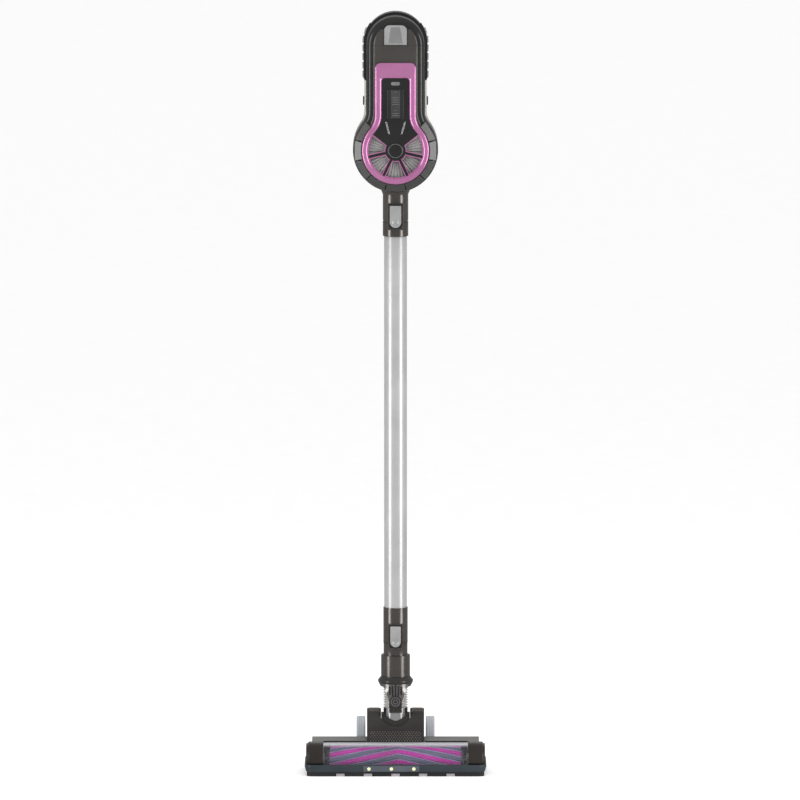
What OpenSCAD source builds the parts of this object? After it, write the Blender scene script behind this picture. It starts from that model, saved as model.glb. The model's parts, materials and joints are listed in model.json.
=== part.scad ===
// Cordless stick vacuum, standing upright on its floor head, ready to use.
// Millimetres. The origin is on the floor under the wand's axis; the front faces -Y.

/* [Floor head] */
// Width of the floor head over its bumper
head_w = 264; // [240:1:320]
// Radius of the brush roller over its strips
brush_r = 19.5; // [17:0.5:22]
// Radius of the brush roller's core
core_r = 13.5; // [10:0.5:15]
// Distance from the wand's axis forward to the roller's axis
brush_fwd = 45; // [43:0.5:52]
// Thickness of the clear window
window_t = 2; // [1.5:0.1:3]
// Height of the bumper's top edge
bumper_top = 16.7; // [14:0.1:19]
// Height of the sole's black edge band
band_h = 6.4; // [5:0.1:8]
// Radius of the rear wheels
wheel_r = 35; // [28:0.5:36]
// Width of one rear wheel
wheel_w = 12.9; // [10:0.1:16]
// Gap between the deck and the wheels behind it
wheel_gap = 0.6; // [0.5:0.1:4]
// Width of the middle housing
housing_w = 83.2; // [80:0.2:92]

/* [Neck] */
// Height of the tilting axis above the floor
pitch_z = 62; // [61:0.5:70]
// Radius of the rounded cheeks round the tilting axis
cheek_r = 27; // [26:0.5:30]
// Height of the swivel axis above the tilting axis
swivel_rise = 40; // [38:0.5:48]
// Radius of the collar under the wand
collar_r = 21.2; // [20:0.1:24]

/* [Wand] */
// Outside diameter of the wand tube
tube_d = 33; // [31:0.5:36]
// Wall of the wand tube
tube_wall = 1.3; // [1:0.1:1.8]
// Bare length of the tube between the two sleeves
tube_len = 543; // [350:1:700]
// Radius of the plug-in spigots
spigot_r = 14.8; // [13.5:0.1:15]
// Wall of the sleeves round the spigots
sleeve_wall = 2.9; // [2.4:0.1:3.6]
// Length of the wand's lower sleeve
sleeve_len = 69.7; // [64:0.1:80]

/* [Handset] */
// Length of the neck's sleeve
neck_len = 60.5; // [56:0.5:70]
// Diameter of the round motor pod
pod_d = 123.2; // [118:0.2:140]
// Width of the handset's front above the pod
spine_w = 83.6; // [80:0.2:92]
// Height of the battery seam above the pod's centre
seam_rise = 151.5; // [146:0.5:170]
// Depth of the front shell, forward of the wand's axis
front_depth = 45; // [43:0.5:52]
// Depth of the rear shell, back from the wand's axis
rear_depth = 40; // [38:0.5:46]
// Length of the dust cup, front to back
cup_len = 48; // [40:1:80]
// Depth of the finger gap in the handle
grip_gap = 50; // [44:1:60]
// Width of the handle
handle_w = 32; // [26:1:38]

/* [Hidden] */
$fn = 64;
fit_gap = 0.1;      // radial play of a sliding fit
pin_gap = 0.05;     // radial play round a pin
clear = 0.3;        // gap between pieces that pass each other
shell_t = 2.5;      // wall of the mouldings

// Floor head
half_w = head_w / 2;
brush_y = -brush_fwd;
brush_z = brush_r + 1.5;
chamber_r = brush_r + 2.5;
window_r = chamber_r + window_t;
front_y = brush_y - window_r - 6;
bumper_t = 5;
deck_y = brush_y + 12;
deck_back = 12;
deck_z = brush_z + window_r + 1.3;
deck_half = half_w - 10.4;
wall_y = brush_y + chamber_r - 1;
wall_z = deck_z - 6.3;
window_half = half_w - 27;
end_wall_x = window_half - 1;
end_wall_t = 3;
sole_t = 3.2;
roller_half = end_wall_x - 5;
belt_x = end_wall_x + 6;
belt_w = 6;
shaft_r = 3;
bearing_r = 8;
motor_y = -4;
motor_z = 24;
motor_r = 13;
roller_pulley_r = 12;
motor_pulley_r = 5.5;
belt_t = 1.6;
housing_half = housing_w / 2;
wheel_in = housing_half + 2.6;
axle_z = wheel_r;
axle_back = deck_back + wheel_r + wheel_gap;
axle_r = 3;
arm_in = 27;
arm_boss_r = 8;
felt_pairs = 7;       // magenta and grey strips round the roller
felt_share = 0.46;    // part of a pair's pitch that one strip covers
felt_turn = 0.73;     // degrees that a strip winds for each millimetre
felt_point = 4.5;     // where the two halves meet
felt_margin = 4;      // bare core left at each end
led_x = -6;
led_pitch = 32.6;
led_z = 11;
led_bar_w = 81;

// Neck
swivel_z = pitch_z + swivel_rise;
barrel_r = cheek_r - 5.4;
barrel_half = 20.8;
barrel_wall = 2.6;
saddle_r = barrel_r + 0.4;
saddle_half = barrel_half + 0.4;
trunnion_r = 8;
trunnion_x = 29.5;
stub_r = 17.5;
stub_top = swivel_z - 11;
lug_r = 9.3;
lug_in = 14.2;
lug_out = 20;
arm_y0 = lug_out + 0.4;
arm_y1 = arm_y0 + 5;
swivel_pin_r = 3;
shoulder_z = swivel_z + 20;
shoulder_r = 25.6;
collar_z = shoulder_z + 15;
neck_top = swivel_z + 66.5;
spigot_wall = 2.5;
spigot_foot = neck_top - 18;
spigot_up = 49.5;
hose_r = 13.2;
hose_wall = 1.2;

// Wand
tube_r = tube_d / 2;
tube_in = tube_r - tube_wall;
sleeve_r = spigot_r + fit_gap + sleeve_wall;
sleeve_top = neck_top + sleeve_len;
tube_foot = sleeve_top - 16;
tube_top = sleeve_top + tube_len;
wand_button_w = 15.2;
wand_button_h = 30.4;
wand_button_z = neck_top + 28.8;
key_w = 6;
nose_w = 4.6;

// Neck sleeve of the handset
neck_r = sleeve_r + 0.7;
neck_ring = 22;
cone_foot = tube_top + neck_len;
cone_top = cone_foot + 11;
cone_r = 23.1;
neck_button_w = 16.5;
neck_button_h = 32;
neck_button_z = tube_top + 29.5;
plug_top = cone_foot - 8;

// Rocking catch on a sleeve
catch_out = 5;      // how far the boss stands out of the sleeve
catch_floor = 0.9;  // from the sleeve's front inwards to the pocket's floor
plate_t = 4.4;      // thickness of the rocker
catch_pin_r = 1.3;
catch_pin_up = 2;   // pin above the middle of the rocker
nose_up = 9;        // nose above the pin

// Handset
pod_r = pod_d / 2;
pod_z = cone_foot + 67;
spine_half = spine_w / 2;
rear_half = spine_half + 3.4;
grip_half = rear_half + 1.1;
flare = 30;
split_y = 8;
cap_gap = 0.2;
seam_z = pod_z + seam_rise;
arch_rise = seam_rise + rear_half - 0.2;
ring_r = pod_r - 12.7;
ring_in = ring_r - 8.9;
frame_half = spine_half - 12;
frame_in = frame_half - 9.8;
frame_top = seam_rise - 24.5;
panel_top = frame_top - 22;
frame_c = 6.5;
frame_flare = 28;
panel_flare = 37;
frame_y = -front_depth - 6;
panel_y = -front_depth - 3.5;
hub_r = 11.3;
window_in = 16;
window_out = ring_in - 1.2;
spoke_half = 3.2;
spokes = 7;
filter_r = ring_in - 0.6;
slider_half = 12.3;
slider_z0 = pod_z + 46;
slider_z1 = pod_z + 89;
stem_half = 3.5;
light_z = pod_z + 97;
board_z0 = pod_z + filter_r + 9.6;
strip_t = 0.6;

motor_can_r = 25;
can_y0 = -24;
can_y1 = 12;
can_wall = 1.8;
fan_shaft_r = 2.5;
fan_r = 24;
duct_r = 14;
duct_wall = 2.8;
inlet_z = pod_z - 43;
inlet_r = 12.5;
inlet_wall = 2.5;
intake_r = 20;

cell_r = 9.15;
cell_pitch = 18.8;
cell_len = 65;
case_half = 1.5 * cell_pitch + 1.8;
case_y1 = split_y - 0.7;
case_y0 = case_y1 - 2 * cell_pitch - 3;
case_foot = seam_z - 88.5;
case_wall = 1.6;
release_w = 33.2;
release_h = 29;
release_c = 8;

cup_r = pod_r - 3.6;
cup_wall = 2.2;
cup_y0 = rear_depth + clear;
cup_y1 = cup_y0 + cup_len;
door_y = cup_y1 + 0.2;
door_t = 3.8;
door_hinge_z = pod_z - cup_r - 3.6;
door_pin_r = 1.5;
cartridge_r = 30;
cartridge_len = cup_len - 15;
latch_half = 8;
latch_z = pod_z + cup_r + 2;
latch_t = 2.5;
latch_pin_y = cup_y1 - 8;
latch_pin_r = 1.2;

handle_z0 = pod_z + cup_r + 11;
handle_z1 = pod_z + arch_rise - 5.5;
handle_bar = 20;
handle_rear = 22;
handle_y1 = rear_depth + grip_gap + handle_rear;
push_z = pod_z + 67;
push_y = 24;
push_size = 12;

// Points on an arc round (cx, cy), from angle a0 to a1
function arc(cx, cy, r, a0, a1, n) =
    [for (i = [0:n]) let (a = a0 + (a1 - a0) * i / n) [cx + r * cos(a), cy + r * sin(a)]];

// Right half of the handset's outline, from the bottom of the pod to the top:
// pod circle r, concave flare f, straight side w, corner c, top t
function outline_half(r, w, t, c, f) =
    let (h = sqrt(pow(r + f, 2) - pow(w + f, 2)), a = atan2(h, w + f))
    concat(
        arc(0, 0, r, -90, a, 28),
        arc(w + f, h, f, a + 180 - 4, 180, 7),
        c > 0 ? arc(w - c, t - c, c, 0, c < w ? 90 : 86, 12) : [[w, t]]
    );

// Mirrored copy of a half outline, in reverse order, without the point on the axis
function mirrored(half) = [for (i = [len(half) - 1:-1:1]) [-half[i][0], half[i][1]]];

module outline(r, w, t, c, f) {
    half = outline_half(r, w, t, c, f);
    polygon(concat(half, mirrored(half)));
}

// Profile in Y and Z, drawn from x0 to x1
module along_x(x0, x1) {
    translate([x0, 0, 0]) rotate([90, 0, 90]) linear_extrude(x1 - x0) children();
}

// Profile in X and Z, drawn from y0 to y1
module along_y(y0, y1) {
    translate([0, y1, 0]) rotate([90, 0, 0]) linear_extrude(y1 - y0) children();
}

// The same, with the profile centred on the pod
module on_pod(y0, y1) {
    translate([0, 0, pod_z]) along_y(y0, y1) children();
}

module rod_x(x0, x1, r, y, z) {
    translate([x0, y, z]) rotate([0, 90, 0]) cylinder(h = x1 - x0, r = r);
}

module rod_y(y0, y1, r, x, z) {
    translate([x, y0, z]) rotate([-90, 0, 0]) cylinder(h = y1 - y0, r = r);
}

module rod_z(z0, z1, r) {
    translate([0, 0, z0]) cylinder(h = z1 - z0, r = r);
}

module box(x0, x1, y0, y1, z0, z1) {
    translate([x0, y0, z0]) cube([x1 - x0, y1 - y0, z1 - z0]);
}

module both_sides() {
    children();
    mirror([1, 0, 0]) children();
}

// Plan of the head: rounded front corners, square back
module head_plan(half, y0, y1, r) {
    translate([-half, y0 + r]) square([2 * half, y1 - y0 - r]);
    translate([-half + r, y0]) square([2 * (half - r), r + 1]);
    for (s = [-1, 1]) translate([s * (half - r), y0 + r]) circle(r);
}

// ---------------------------------------------------------------- floor head

module sole_chassis() {
    color("#17191c")
    difference() {
        union() {
            linear_extrude(sole_t) head_plan(half_w - 0.8, front_y + 0.6, deck_back, 11);
            difference() {
                linear_extrude(band_h) head_plan(half_w - 0.8, front_y + 0.6, deck_back, 11);
                translate([0, 0, -1]) linear_extrude(band_h + 2)
                    head_plan(half_w - 4.8, front_y + 4.6, deck_back - 2, 8);
            }
            both_sides() along_x(end_wall_x, end_wall_x + end_wall_t) {
                translate([brush_y, brush_z]) circle(chamber_r - 0.1);
                translate([brush_y - chamber_r + 2, sole_t - 0.5])
                    square([2 * chamber_r - 3, brush_z - sole_t]);
            }
            box(-end_wall_x - 1, end_wall_x + 1, wall_y, wall_y + 2, sole_t - 0.5, wall_z);
        }
        // suction mouth
        box(-roller_half - 2, roller_half + 2, brush_y - brush_r - 0.5, brush_y + brush_r + 0.5, -1, sole_t + 1);
        // way through to the duct
        box(-18, 18, wall_y - 1, wall_y + 3, 10, 36);
        // notches in the front lip
        for (i = [-2:2]) box(i * 40 - 6, i * 40 + 6, front_y - 1, brush_y - brush_r, -1, 4);
        both_sides() rod_x(end_wall_x - 1, end_wall_x + end_wall_t + 1, bearing_r, brush_y, brush_z);
        // seats of the two soft glide strips
        both_sides() box(50, 120, deck_back - 14, deck_back - 6, -1, 1.2);
    }
}

module glide_strips() {
    color("#5b5f66") both_sides() box(50, 120, deck_back - 14, deck_back - 6, 0, 1.2);
}

module front_bumper() {
    color("#3f4a50")
    difference() {
        translate([0, 0, band_h]) linear_extrude(bumper_top - band_h)
            head_plan(half_w, front_y, deck_back, 12);
        translate([0, 0, band_h - 1]) linear_extrude(bumper_top)
            head_plan(half_w - bumper_t, front_y + bumper_t, deck_back + 1, 8);
        box(led_x - led_bar_w / 2, led_x + led_bar_w / 2, front_y - 1, front_y + 1, 7, 15.5);
    }
}

module led_bar() {
    color("#565c66")
    difference() {
        box(led_x - led_bar_w / 2, led_x + led_bar_w / 2, front_y - 0.4, front_y + 1, 7, 15.5);
        for (i = [-1:1]) rod_y(front_y - 1, front_y + 2, 2.6, led_x + i * led_pitch, led_z);
    }
}

module led_lenses() {
    color("#fff3c8")
    for (i = [-1:1]) rod_y(front_y - 1, front_y + 1, 2.6, led_x + i * led_pitch, led_z);
}

module brush_window() {
    color("#d8dde4", 0.35)
    intersection() {
        difference() {
            rod_x(-window_half, window_half, window_r, brush_y, brush_z);
            rod_x(-window_half - 1, window_half + 1, chamber_r, brush_y, brush_z);
        }
        box(-half_w, half_w, brush_y - 40, deck_y - 0.4, bumper_top + 0.2, brush_z + 40);
    }
}

module cap_profile(r, top) {
    translate([brush_y, brush_z]) circle(r);
    translate([brush_y, brush_z - r]) square([deck_y - brush_y - clear, top - brush_z + r]);
}

module end_caps() {
    color("#4a4846")
    both_sides()
    intersection() {
        difference() {
            union() {
                along_x(window_half + clear, half_w - 5) cap_profile(window_r + 0.2, brush_z + window_r + 0.2);
                along_x(half_w - 5.1, half_w - 2) cap_profile(window_r - 2, brush_z + window_r - 2);
            }
            along_x(window_half - 1, half_w - 6.8) cap_profile(window_r - 2, brush_z + window_r - 2);
        }
        box(0, half_w, brush_y - 40, deck_y - clear, bumper_top + 0.2, brush_z + 60);
    }
}

module deck_profile(t) {
    polygon([
        [deck_y - 1 + t, band_h - 1], [deck_y - 1 + t, deck_z - 3.5 - t], [deck_y + 5, deck_z - 0.8 - t],
        [deck_y + 12, deck_z - t], [deck_back - 5, deck_z - t], [deck_back - t, deck_z - 5],
        [deck_back - t, band_h - 1]
    ]);
}

module rear_deck() {
    color("#45444a")
    difference() {
        intersection() {
            along_x(-deck_half, deck_half) deck_profile(0);
            box(-half_w, half_w, deck_y, deck_back, bumper_top + 0.2, deck_z + 1);
        }
        along_x(-deck_half + 2.2, deck_half - 2.2) deck_profile(2.2);
        // open towards the roller, up to the deck's front edge
        box(-deck_half + 2.2, deck_half - 2.2, deck_y - 1, deck_y + 6, band_h, deck_z - 6.2);
        // gap for the middle housing, with a strip left at the foot of the rear wall
        box(-housing_half - 0.2, housing_half + 0.2, deck_y - 1, deck_back + 1, bumper_top + 4.4, deck_z + 1);
    }
}

module centre_housing() {
    hh = housing_half;
    color("#3c3a39")
    difference() {
        union() {
            along_x(-hh, hh) polygon([
                [wall_y + 2.2, sole_t], [wall_y + 2.2, wall_z + 0.4], [deck_y - 0.2, wall_z + 1.4],
                [deck_y - 0.2, deck_z - 3], [-cheek_r + 2.6, pitch_z + 1], [-8, pitch_z + 6],
                [8, pitch_z - 22], [24, pitch_z - 25], [24, 14], [deck_back + 1, 12], [deck_back + 1, sole_t]
            ]);
            rod_x(-hh, hh, cheek_r, 0, pitch_z);
            both_sides() along_x(arm_in, hh) {
                polygon([
                    [0, pitch_z - cheek_r + 4], [6, pitch_z + 18], [cheek_r - 6, pitch_z + 14],
                    [axle_back + 4, axle_z + 7], [axle_back + 4, axle_z - 7], [18, 14]
                ]);
                translate([axle_back, axle_z]) circle(arm_boss_r);
            }
        }
        rod_x(-saddle_half, saddle_half, saddle_r, 0, pitch_z);
        rod_x(-trunnion_x - 0.5, trunnion_x + 0.5, trunnion_r + pin_gap, 0, pitch_z);
        // way for the neck, from upright to leaning back
        along_x(-saddle_half, saddle_half) polygon([
            [0, pitch_z], [60 * cos(144), pitch_z + 60 * sin(144)], [-48, pitch_z + 70], [70, pitch_z + 70],
            [90, pitch_z - 20], [70 * cos(-44), pitch_z + 70 * sin(-44)]
        ]);
        box(-arm_in, arm_in, 22, 90, -1, pitch_z + 40);
        // duct from the roller chamber up to the barrel
        box(-18, 18, wall_y + 2, 8, sole_t + 2.5, pitch_z - saddle_r + 3);
        both_sides() box(20.5, hh - shell_t, wall_y + 4.7, 8, sole_t + 2.5, pitch_z - cheek_r + 3);
        // slot over the strip of the rear deck
        box(-hh - 1, hh + 1, deck_back - 2.5, deck_back + 0.3, -1, bumper_top + 4.6);
        both_sides() rod_x(arm_in - 1, hh + 1, axle_r, axle_back, axle_z);
    }
}

module wheel_axles() {
    color("#8c9096")
    both_sides() {
        rod_x(arm_in + 0.5, wheel_in + wheel_w - 2.2, axle_r, axle_back, axle_z);
        rod_x(wheel_in + wheel_w - 2.2, wheel_in + wheel_w - 0.6, axle_r + 1.6, axle_back, axle_z);
    }
}

module wheel() {
    x0 = wheel_in;
    x1 = wheel_in + wheel_w;
    translate([0, axle_back, axle_z]) rotate([0, 90, 0])
    rotate_extrude() polygon([
        [axle_r + pin_gap, x0], [axle_r + 5, x0], [axle_r + 5, x0 + 3], [wheel_r - 8, x0 + 3], [wheel_r - 8, x0],
        [wheel_r - 1.2, x0], [wheel_r, x0 + 1.2], [wheel_r, x1 - 1.2], [wheel_r - 1.2, x1], [wheel_r - 8, x1],
        [wheel_r - 10, x1 - 2], [axle_r + 9, x1 - 2.8], [axle_r + 2, x1 - 2.8], [axle_r + pin_gap, x1 - 2.8]
    ]);
}

module wheel_left() {
    color("#b5b9bf") mirror([1, 0, 0]) wheel();
}

module wheel_right() {
    color("#b5b9bf") wheel();
}

module head_motor() {
    color("#9a9da2")
    difference() {
        union() {
            rod_x(-end_wall_x + 6, -housing_half - 6, motor_r, motor_y, motor_z);
            rod_x(-end_wall_x + 2, -end_wall_x + 6, 6, motor_y, motor_z);
        }
        rod_x(-end_wall_x - 1, -housing_half - 10, 1.6, motor_y, motor_z);
    }
}

module motor_pulley() {
    color("#c9ccd0") {
        rod_x(-belt_x - belt_w - 0.8, -end_wall_x, motor_pulley_r, motor_y, motor_z);
        rod_x(-end_wall_x - 0.5, -housing_half - 11, 1.55, motor_y, motor_z);
    }
}

// Section of the belt round the two pulleys, a loop pushed outwards by t
module belt_loop(t) {
    dy = motor_y - brush_y;
    dz = motor_z - brush_z;
    d = sqrt(dy * dy + dz * dz);
    tilt = atan2(dz, dy);
    big = roller_pulley_r + t;
    small = motor_pulley_r + t;
    a = acos((big - small) / d);
    translate([brush_y, brush_z]) rotate(tilt) {
        circle(big);
        translate([d, 0]) circle(small);
        polygon([
            [big * cos(a), big * sin(a)], [big * cos(a), -big * sin(a)],
            [d + small * cos(a), -small * sin(a)], [d + small * cos(a), small * sin(a)]
        ]);
    }
}

module drive_belt() {
    color("#222222")
    along_x(-belt_x - belt_w, -belt_x) difference() {
        belt_loop(fit_gap + belt_t);
        belt_loop(fit_gap);
    }
}

module roller_bearings() {
    color("#c0c4c8")
    both_sides() difference() {
        rod_x(end_wall_x - 0.5, end_wall_x + end_wall_t, bearing_r, brush_y, brush_z);
        rod_x(end_wall_x - 1, end_wall_x + end_wall_t + 1, shaft_r + pin_gap, brush_y, brush_z);
    }
}

module roller_core() {
    color("#55505c") {
        rod_x(-roller_half, roller_half, core_r, brush_y, brush_z);
        rod_x(-belt_x - belt_w - 1.5, end_wall_x + end_wall_t, shaft_r, brush_y, brush_z);
        rod_x(-belt_x - belt_w - 0.5, -belt_x + 0.5, roller_pulley_r, brush_y, brush_z);
    }
}

// One strip of felt from the point of the V to an end of the roller, wound round the core
module felt_strip(start, side) {
    span = felt_share * 360 / felt_pairs;
    len = roller_half - felt_margin - side * felt_point;
    tip = [for (i = [0:2]) let (a = start + span * i / 2) [brush_r * cos(a), brush_r * sin(a)]];
    root = [for (i = [2:-1:0]) let (a = start + span * i / 2) [(core_r + 0.1) * cos(a), (core_r + 0.1) * sin(a)]];
    translate([felt_point, brush_y, brush_z]) mirror([1 - side, 0, 0]) translate([0.3, 0, 0]) rotate([0, 90, 0])
        linear_extrude(height = len, twist = -felt_turn * len, slices = 8, $fn = 12) polygon(concat(tip, root));
}

module felt_strips(start) {
    for (i = [0:felt_pairs - 1], side = [-1, 1]) felt_strip(start + i * 360 / felt_pairs, side);
}

module felt_magenta() {
    color("#b3289b") felt_strips(-148);
}

module felt_grey() {
    color("#6c6f88") felt_strips(-148 + 180 / felt_pairs);
}

module head_screws() {
    color("#70757c")
    for (x = [-100, -60, 60, 100]) {
        translate([x, front_y + 10.5 + brush_fwd + 12, sole_t]) cylinder(h = 1.8, r = 3);
    }
}

// ---------------------------------------------------------------- neck

module pitch_barrel() {
    color("#6a6866")
    difference() {
        union() {
            rod_x(-barrel_half, barrel_half, barrel_r, 0, pitch_z);
            rod_x(-trunnion_x, trunnion_x, trunnion_r, 0, pitch_z);
            rod_z(pitch_z, stub_top, stub_r);
            both_lugs() {
                translate([0, swivel_z]) circle(lug_r);
                translate([-lug_r, stub_top - 6]) square([2 * lug_r, swivel_z - stub_top + 6]);
            }
        }
        rod_x(-barrel_half + barrel_wall, barrel_half - barrel_wall, barrel_r - barrel_wall, 0, pitch_z);
        rod_z(pitch_z, swivel_z + 20, stub_r - 3);
        box(-14, 14, -12, 12, pitch_z - barrel_r - 2, pitch_z - 6);
        rod_y(-40, 40, swivel_pin_r, 0, swivel_z);
    }
}

module both_lugs() {
    along_y(lug_in, lug_out) children();
    along_y(-lug_out, -lug_in) children();
}

module swivel_pins() {
    color("#9aa0a6")
    for (s = [0, 1]) mirror([0, s, 0]) {
        rod_y(lug_in, arm_y1, swivel_pin_r, 0, swivel_z);
        rod_y(arm_y1 + 0.2, arm_y1 + 1.6, lug_r - 0.7, 0, swivel_z);
        rod_y(arm_y1 - 0.5, arm_y1 + 0.3, swivel_pin_r, 0, swivel_z);
    }
}

module neck_hose() {
    foot = stub_top - 5;
    top = shoulder_z + 4;
    pitch = 3.6;
    color("#2b2b2b")
    difference() {
        union() {
            rod_z(foot, top, hose_r - 1.2);
            for (z = [foot + 1:pitch:top - 2]) rod_z(z, z + 1.8, hose_r);
        }
        rod_z(foot - 1, top + 1, hose_r - 1.2 - hose_wall);
    }
}

module swivel_yoke() {
    in_r = spigot_r - spigot_wall + 0.2;
    color("#4a4846")
    difference() {
        union() {
            rotate_extrude() polygon([
                [hose_r + 1.8, shoulder_z], [shoulder_r - 3.4, shoulder_z], [shoulder_r, shoulder_z + 7],
                [shoulder_r, shoulder_z + 10], [collar_r, collar_z], [collar_r, neck_top], [spigot_r, neck_top],
                [spigot_r, spigot_foot], [in_r, spigot_foot], [in_r, shoulder_z + 9], [hose_r + 1.8, shoulder_z + 6]
            ]);
            for (s = [0, 1]) mirror([0, s, 0]) along_y(arm_y0, arm_y1) {
                translate([0, swivel_z]) circle(lug_r);
                polygon([
                    [-lug_r, swivel_z], [lug_r, swivel_z], [12.5, shoulder_z + 3], [12.5, shoulder_z + 8],
                    [-12.5, shoulder_z + 8], [-12.5, shoulder_z + 3]
                ]);
            }
        }
        rod_y(-40, 40, swivel_pin_r + pin_gap, 0, swivel_z);
        // cooling slots in the front and the back of the fork
        for (i = [-2:2], s = [-1, 1]) {
            box(i * 4 - 0.8, i * 4 + 0.8, s * arm_y1 - 1.2, s * arm_y1 + 1.2, swivel_z + 11, shoulder_z + 5);
        }
        rod_z(neck_top - 0.01, neck_top + 10, spigot_r);
    }
}

module spigot_key(z0, z1) {
    box(-key_w / 2, key_w / 2, -spigot_r - 2, -spigot_r + spigot_wall + 0.4, z0, z1);
}

module yoke_spigot() {
    color("#3a3a3c")
    difference() {
        rod_z(spigot_foot, neck_top + spigot_up, spigot_r);
        rod_z(spigot_foot - 1, neck_top + spigot_up + 1, spigot_r - spigot_wall);
        spigot_key(neck_top + 2, neck_top + spigot_up + 1);
    }
}

// ---------------------------------------------------------------- catches

// Solid boss for a rocking catch on the front of a sleeve of radius r
module catch_boss(zc, w, h, r) {
    box(-w / 2 - 2.6, w / 2 + 2.6, -r - catch_out, -r + 4, zc - h / 2 - 3.4, zc + h / 2 + 3.4);
}

// What is cut from the sleeve for the catch: pocket, nose slot and pin hole
module catch_cut(zc, w, h, r) {
    pin_y = -r - catch_floor - 1;
    pin_z = zc + catch_pin_up;
    box(-w / 2 - 0.5, w / 2 + 0.5, -r - catch_out - 5, -r + catch_floor - 1.2, zc - h / 2 - 0.7, zc + h / 2 + 0.7);
    box(-nose_w / 2 - 0.3, nose_w / 2 + 0.3, -r - 1, 0, pin_z + nose_up - 3, pin_z + nose_up + 3);
    rod_x(-w / 2 - 2.2, w / 2 + 2.2, catch_pin_r + pin_gap, pin_y, pin_z);
}

module rocker_shape(w, h) {
    translate([-w / 2, -h / 2 + w / 2]) square([w, h - w / 2]);
    translate([0, -h / 2 + w / 2]) circle(w / 2);
}

module rocker(zc, w, h, r) {
    back_y = -r - catch_floor - 1.6;
    pin_y = -r - catch_floor - 1;
    pin_z = zc + catch_pin_up;
    difference() {
        union() {
            translate([0, 0, zc]) along_y(back_y - plate_t, back_y) rocker_shape(w, h);
            rod_x(-w / 2 - 1.9, w / 2 + 1.9, catch_pin_r, pin_y, pin_z);
            box(-w / 2, w / 2, back_y - 0.5, pin_y, pin_z - catch_pin_r, pin_z + catch_pin_r);
            box(-nose_w / 2, nose_w / 2, back_y - 0.5, -spigot_r + 0.9, pin_z + nose_up - 2, pin_z + nose_up + 2);
        }
        // thumb dimple at the lower end
        translate([0, back_y - plate_t - 6.4, zc - h / 2 + w / 2]) sphere(r = 8);
    }
}

module catch_spring(zc, r) {
    back_y = -r - catch_floor - 1.6;
    for (i = [0:2]) translate([0, back_y + 0.35 + i * 0.62, zc - 9]) rotate([90, 0, 0])
        rotate_extrude() translate([2.2, 0]) circle(0.3);
}

// ---------------------------------------------------------------- wand

module wand_tube() {
    color("#c8c8c8")
    difference() {
        rod_z(tube_foot, tube_top, tube_r);
        rod_z(tube_foot - 1, tube_top + 1, tube_in);
    }
}

module wand_sleeve() {
    color("#4a4846")
    difference() {
        union() {
            rod_z(neck_top, neck_top + 17, sleeve_r - 0.3);
            rod_z(neck_top + 16, neck_top + 17.6, sleeve_r - 0.9);
            rod_z(neck_top + 17.6, sleeve_top, sleeve_r);
            catch_boss(wand_button_z, wand_button_w, wand_button_h, sleeve_r);
        }
        rod_z(neck_top - 1, tube_foot + 0.01, spigot_r + fit_gap);
        rod_z(tube_foot, sleeve_top + 1, tube_r);
        catch_cut(wand_button_z, wand_button_w, wand_button_h, sleeve_r);
    }
}

module wand_button() {
    color("#b0b0b0") rocker(wand_button_z, wand_button_w, wand_button_h, sleeve_r);
}

module wand_spring() {
    color("#d0d0d0") catch_spring(wand_button_z, sleeve_r);
}

module wand_spigot() {
    color("#3a3a3c")
    difference() {
        union() {
            rod_z(tube_top - 36, tube_top, tube_in);
            rod_z(tube_top - 0.5, plug_top, spigot_r);
        }
        rod_z(tube_top - 37, plug_top + 1, spigot_r - spigot_wall);
        spigot_key(tube_top + 2, plug_top + 1);
    }
}

// ---------------------------------------------------------------- handset

module neck_sleeve() {
    color("#4a4846")
    difference() {
        union() {
            rod_z(tube_top, tube_top + neck_ring - 0.8, neck_r);
            rod_z(tube_top + neck_ring - 1, tube_top + neck_ring + 0.6, neck_r - 0.7);
            rod_z(tube_top + neck_ring + 0.6, cone_foot, neck_r);
            rotate_extrude() polygon([
                [0, cone_foot - 1], [neck_r, cone_foot - 1], [neck_r, cone_foot], [cone_r, cone_top], [0, cone_top]
            ]);
            catch_boss(neck_button_z, neck_button_w, neck_button_h, neck_r);
        }
        rod_z(tube_top - 1, plug_top + 2, spigot_r + fit_gap);
        rod_z(plug_top + 1, cone_top + 1, duct_r);
        catch_cut(neck_button_z, neck_button_w, neck_button_h, neck_r);
        // the cone's top is cut to the pod's curve
        rod_y(-60, 60, pod_r, 0, pod_z);
    }
}

module neck_button() {
    color("#b0b0b0") rocker(neck_button_z, neck_button_w, neck_button_h, neck_r);
}

module neck_spring() {
    color("#d0d0d0") catch_spring(neck_button_z, neck_r);
}

module front_outline(inset) {
    outline(pod_r - inset, spine_half - inset, seam_rise, 0, flare + inset);
}

module frame_outline() {
    outline(ring_r, frame_half, frame_top, frame_c, frame_flare);
}

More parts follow.
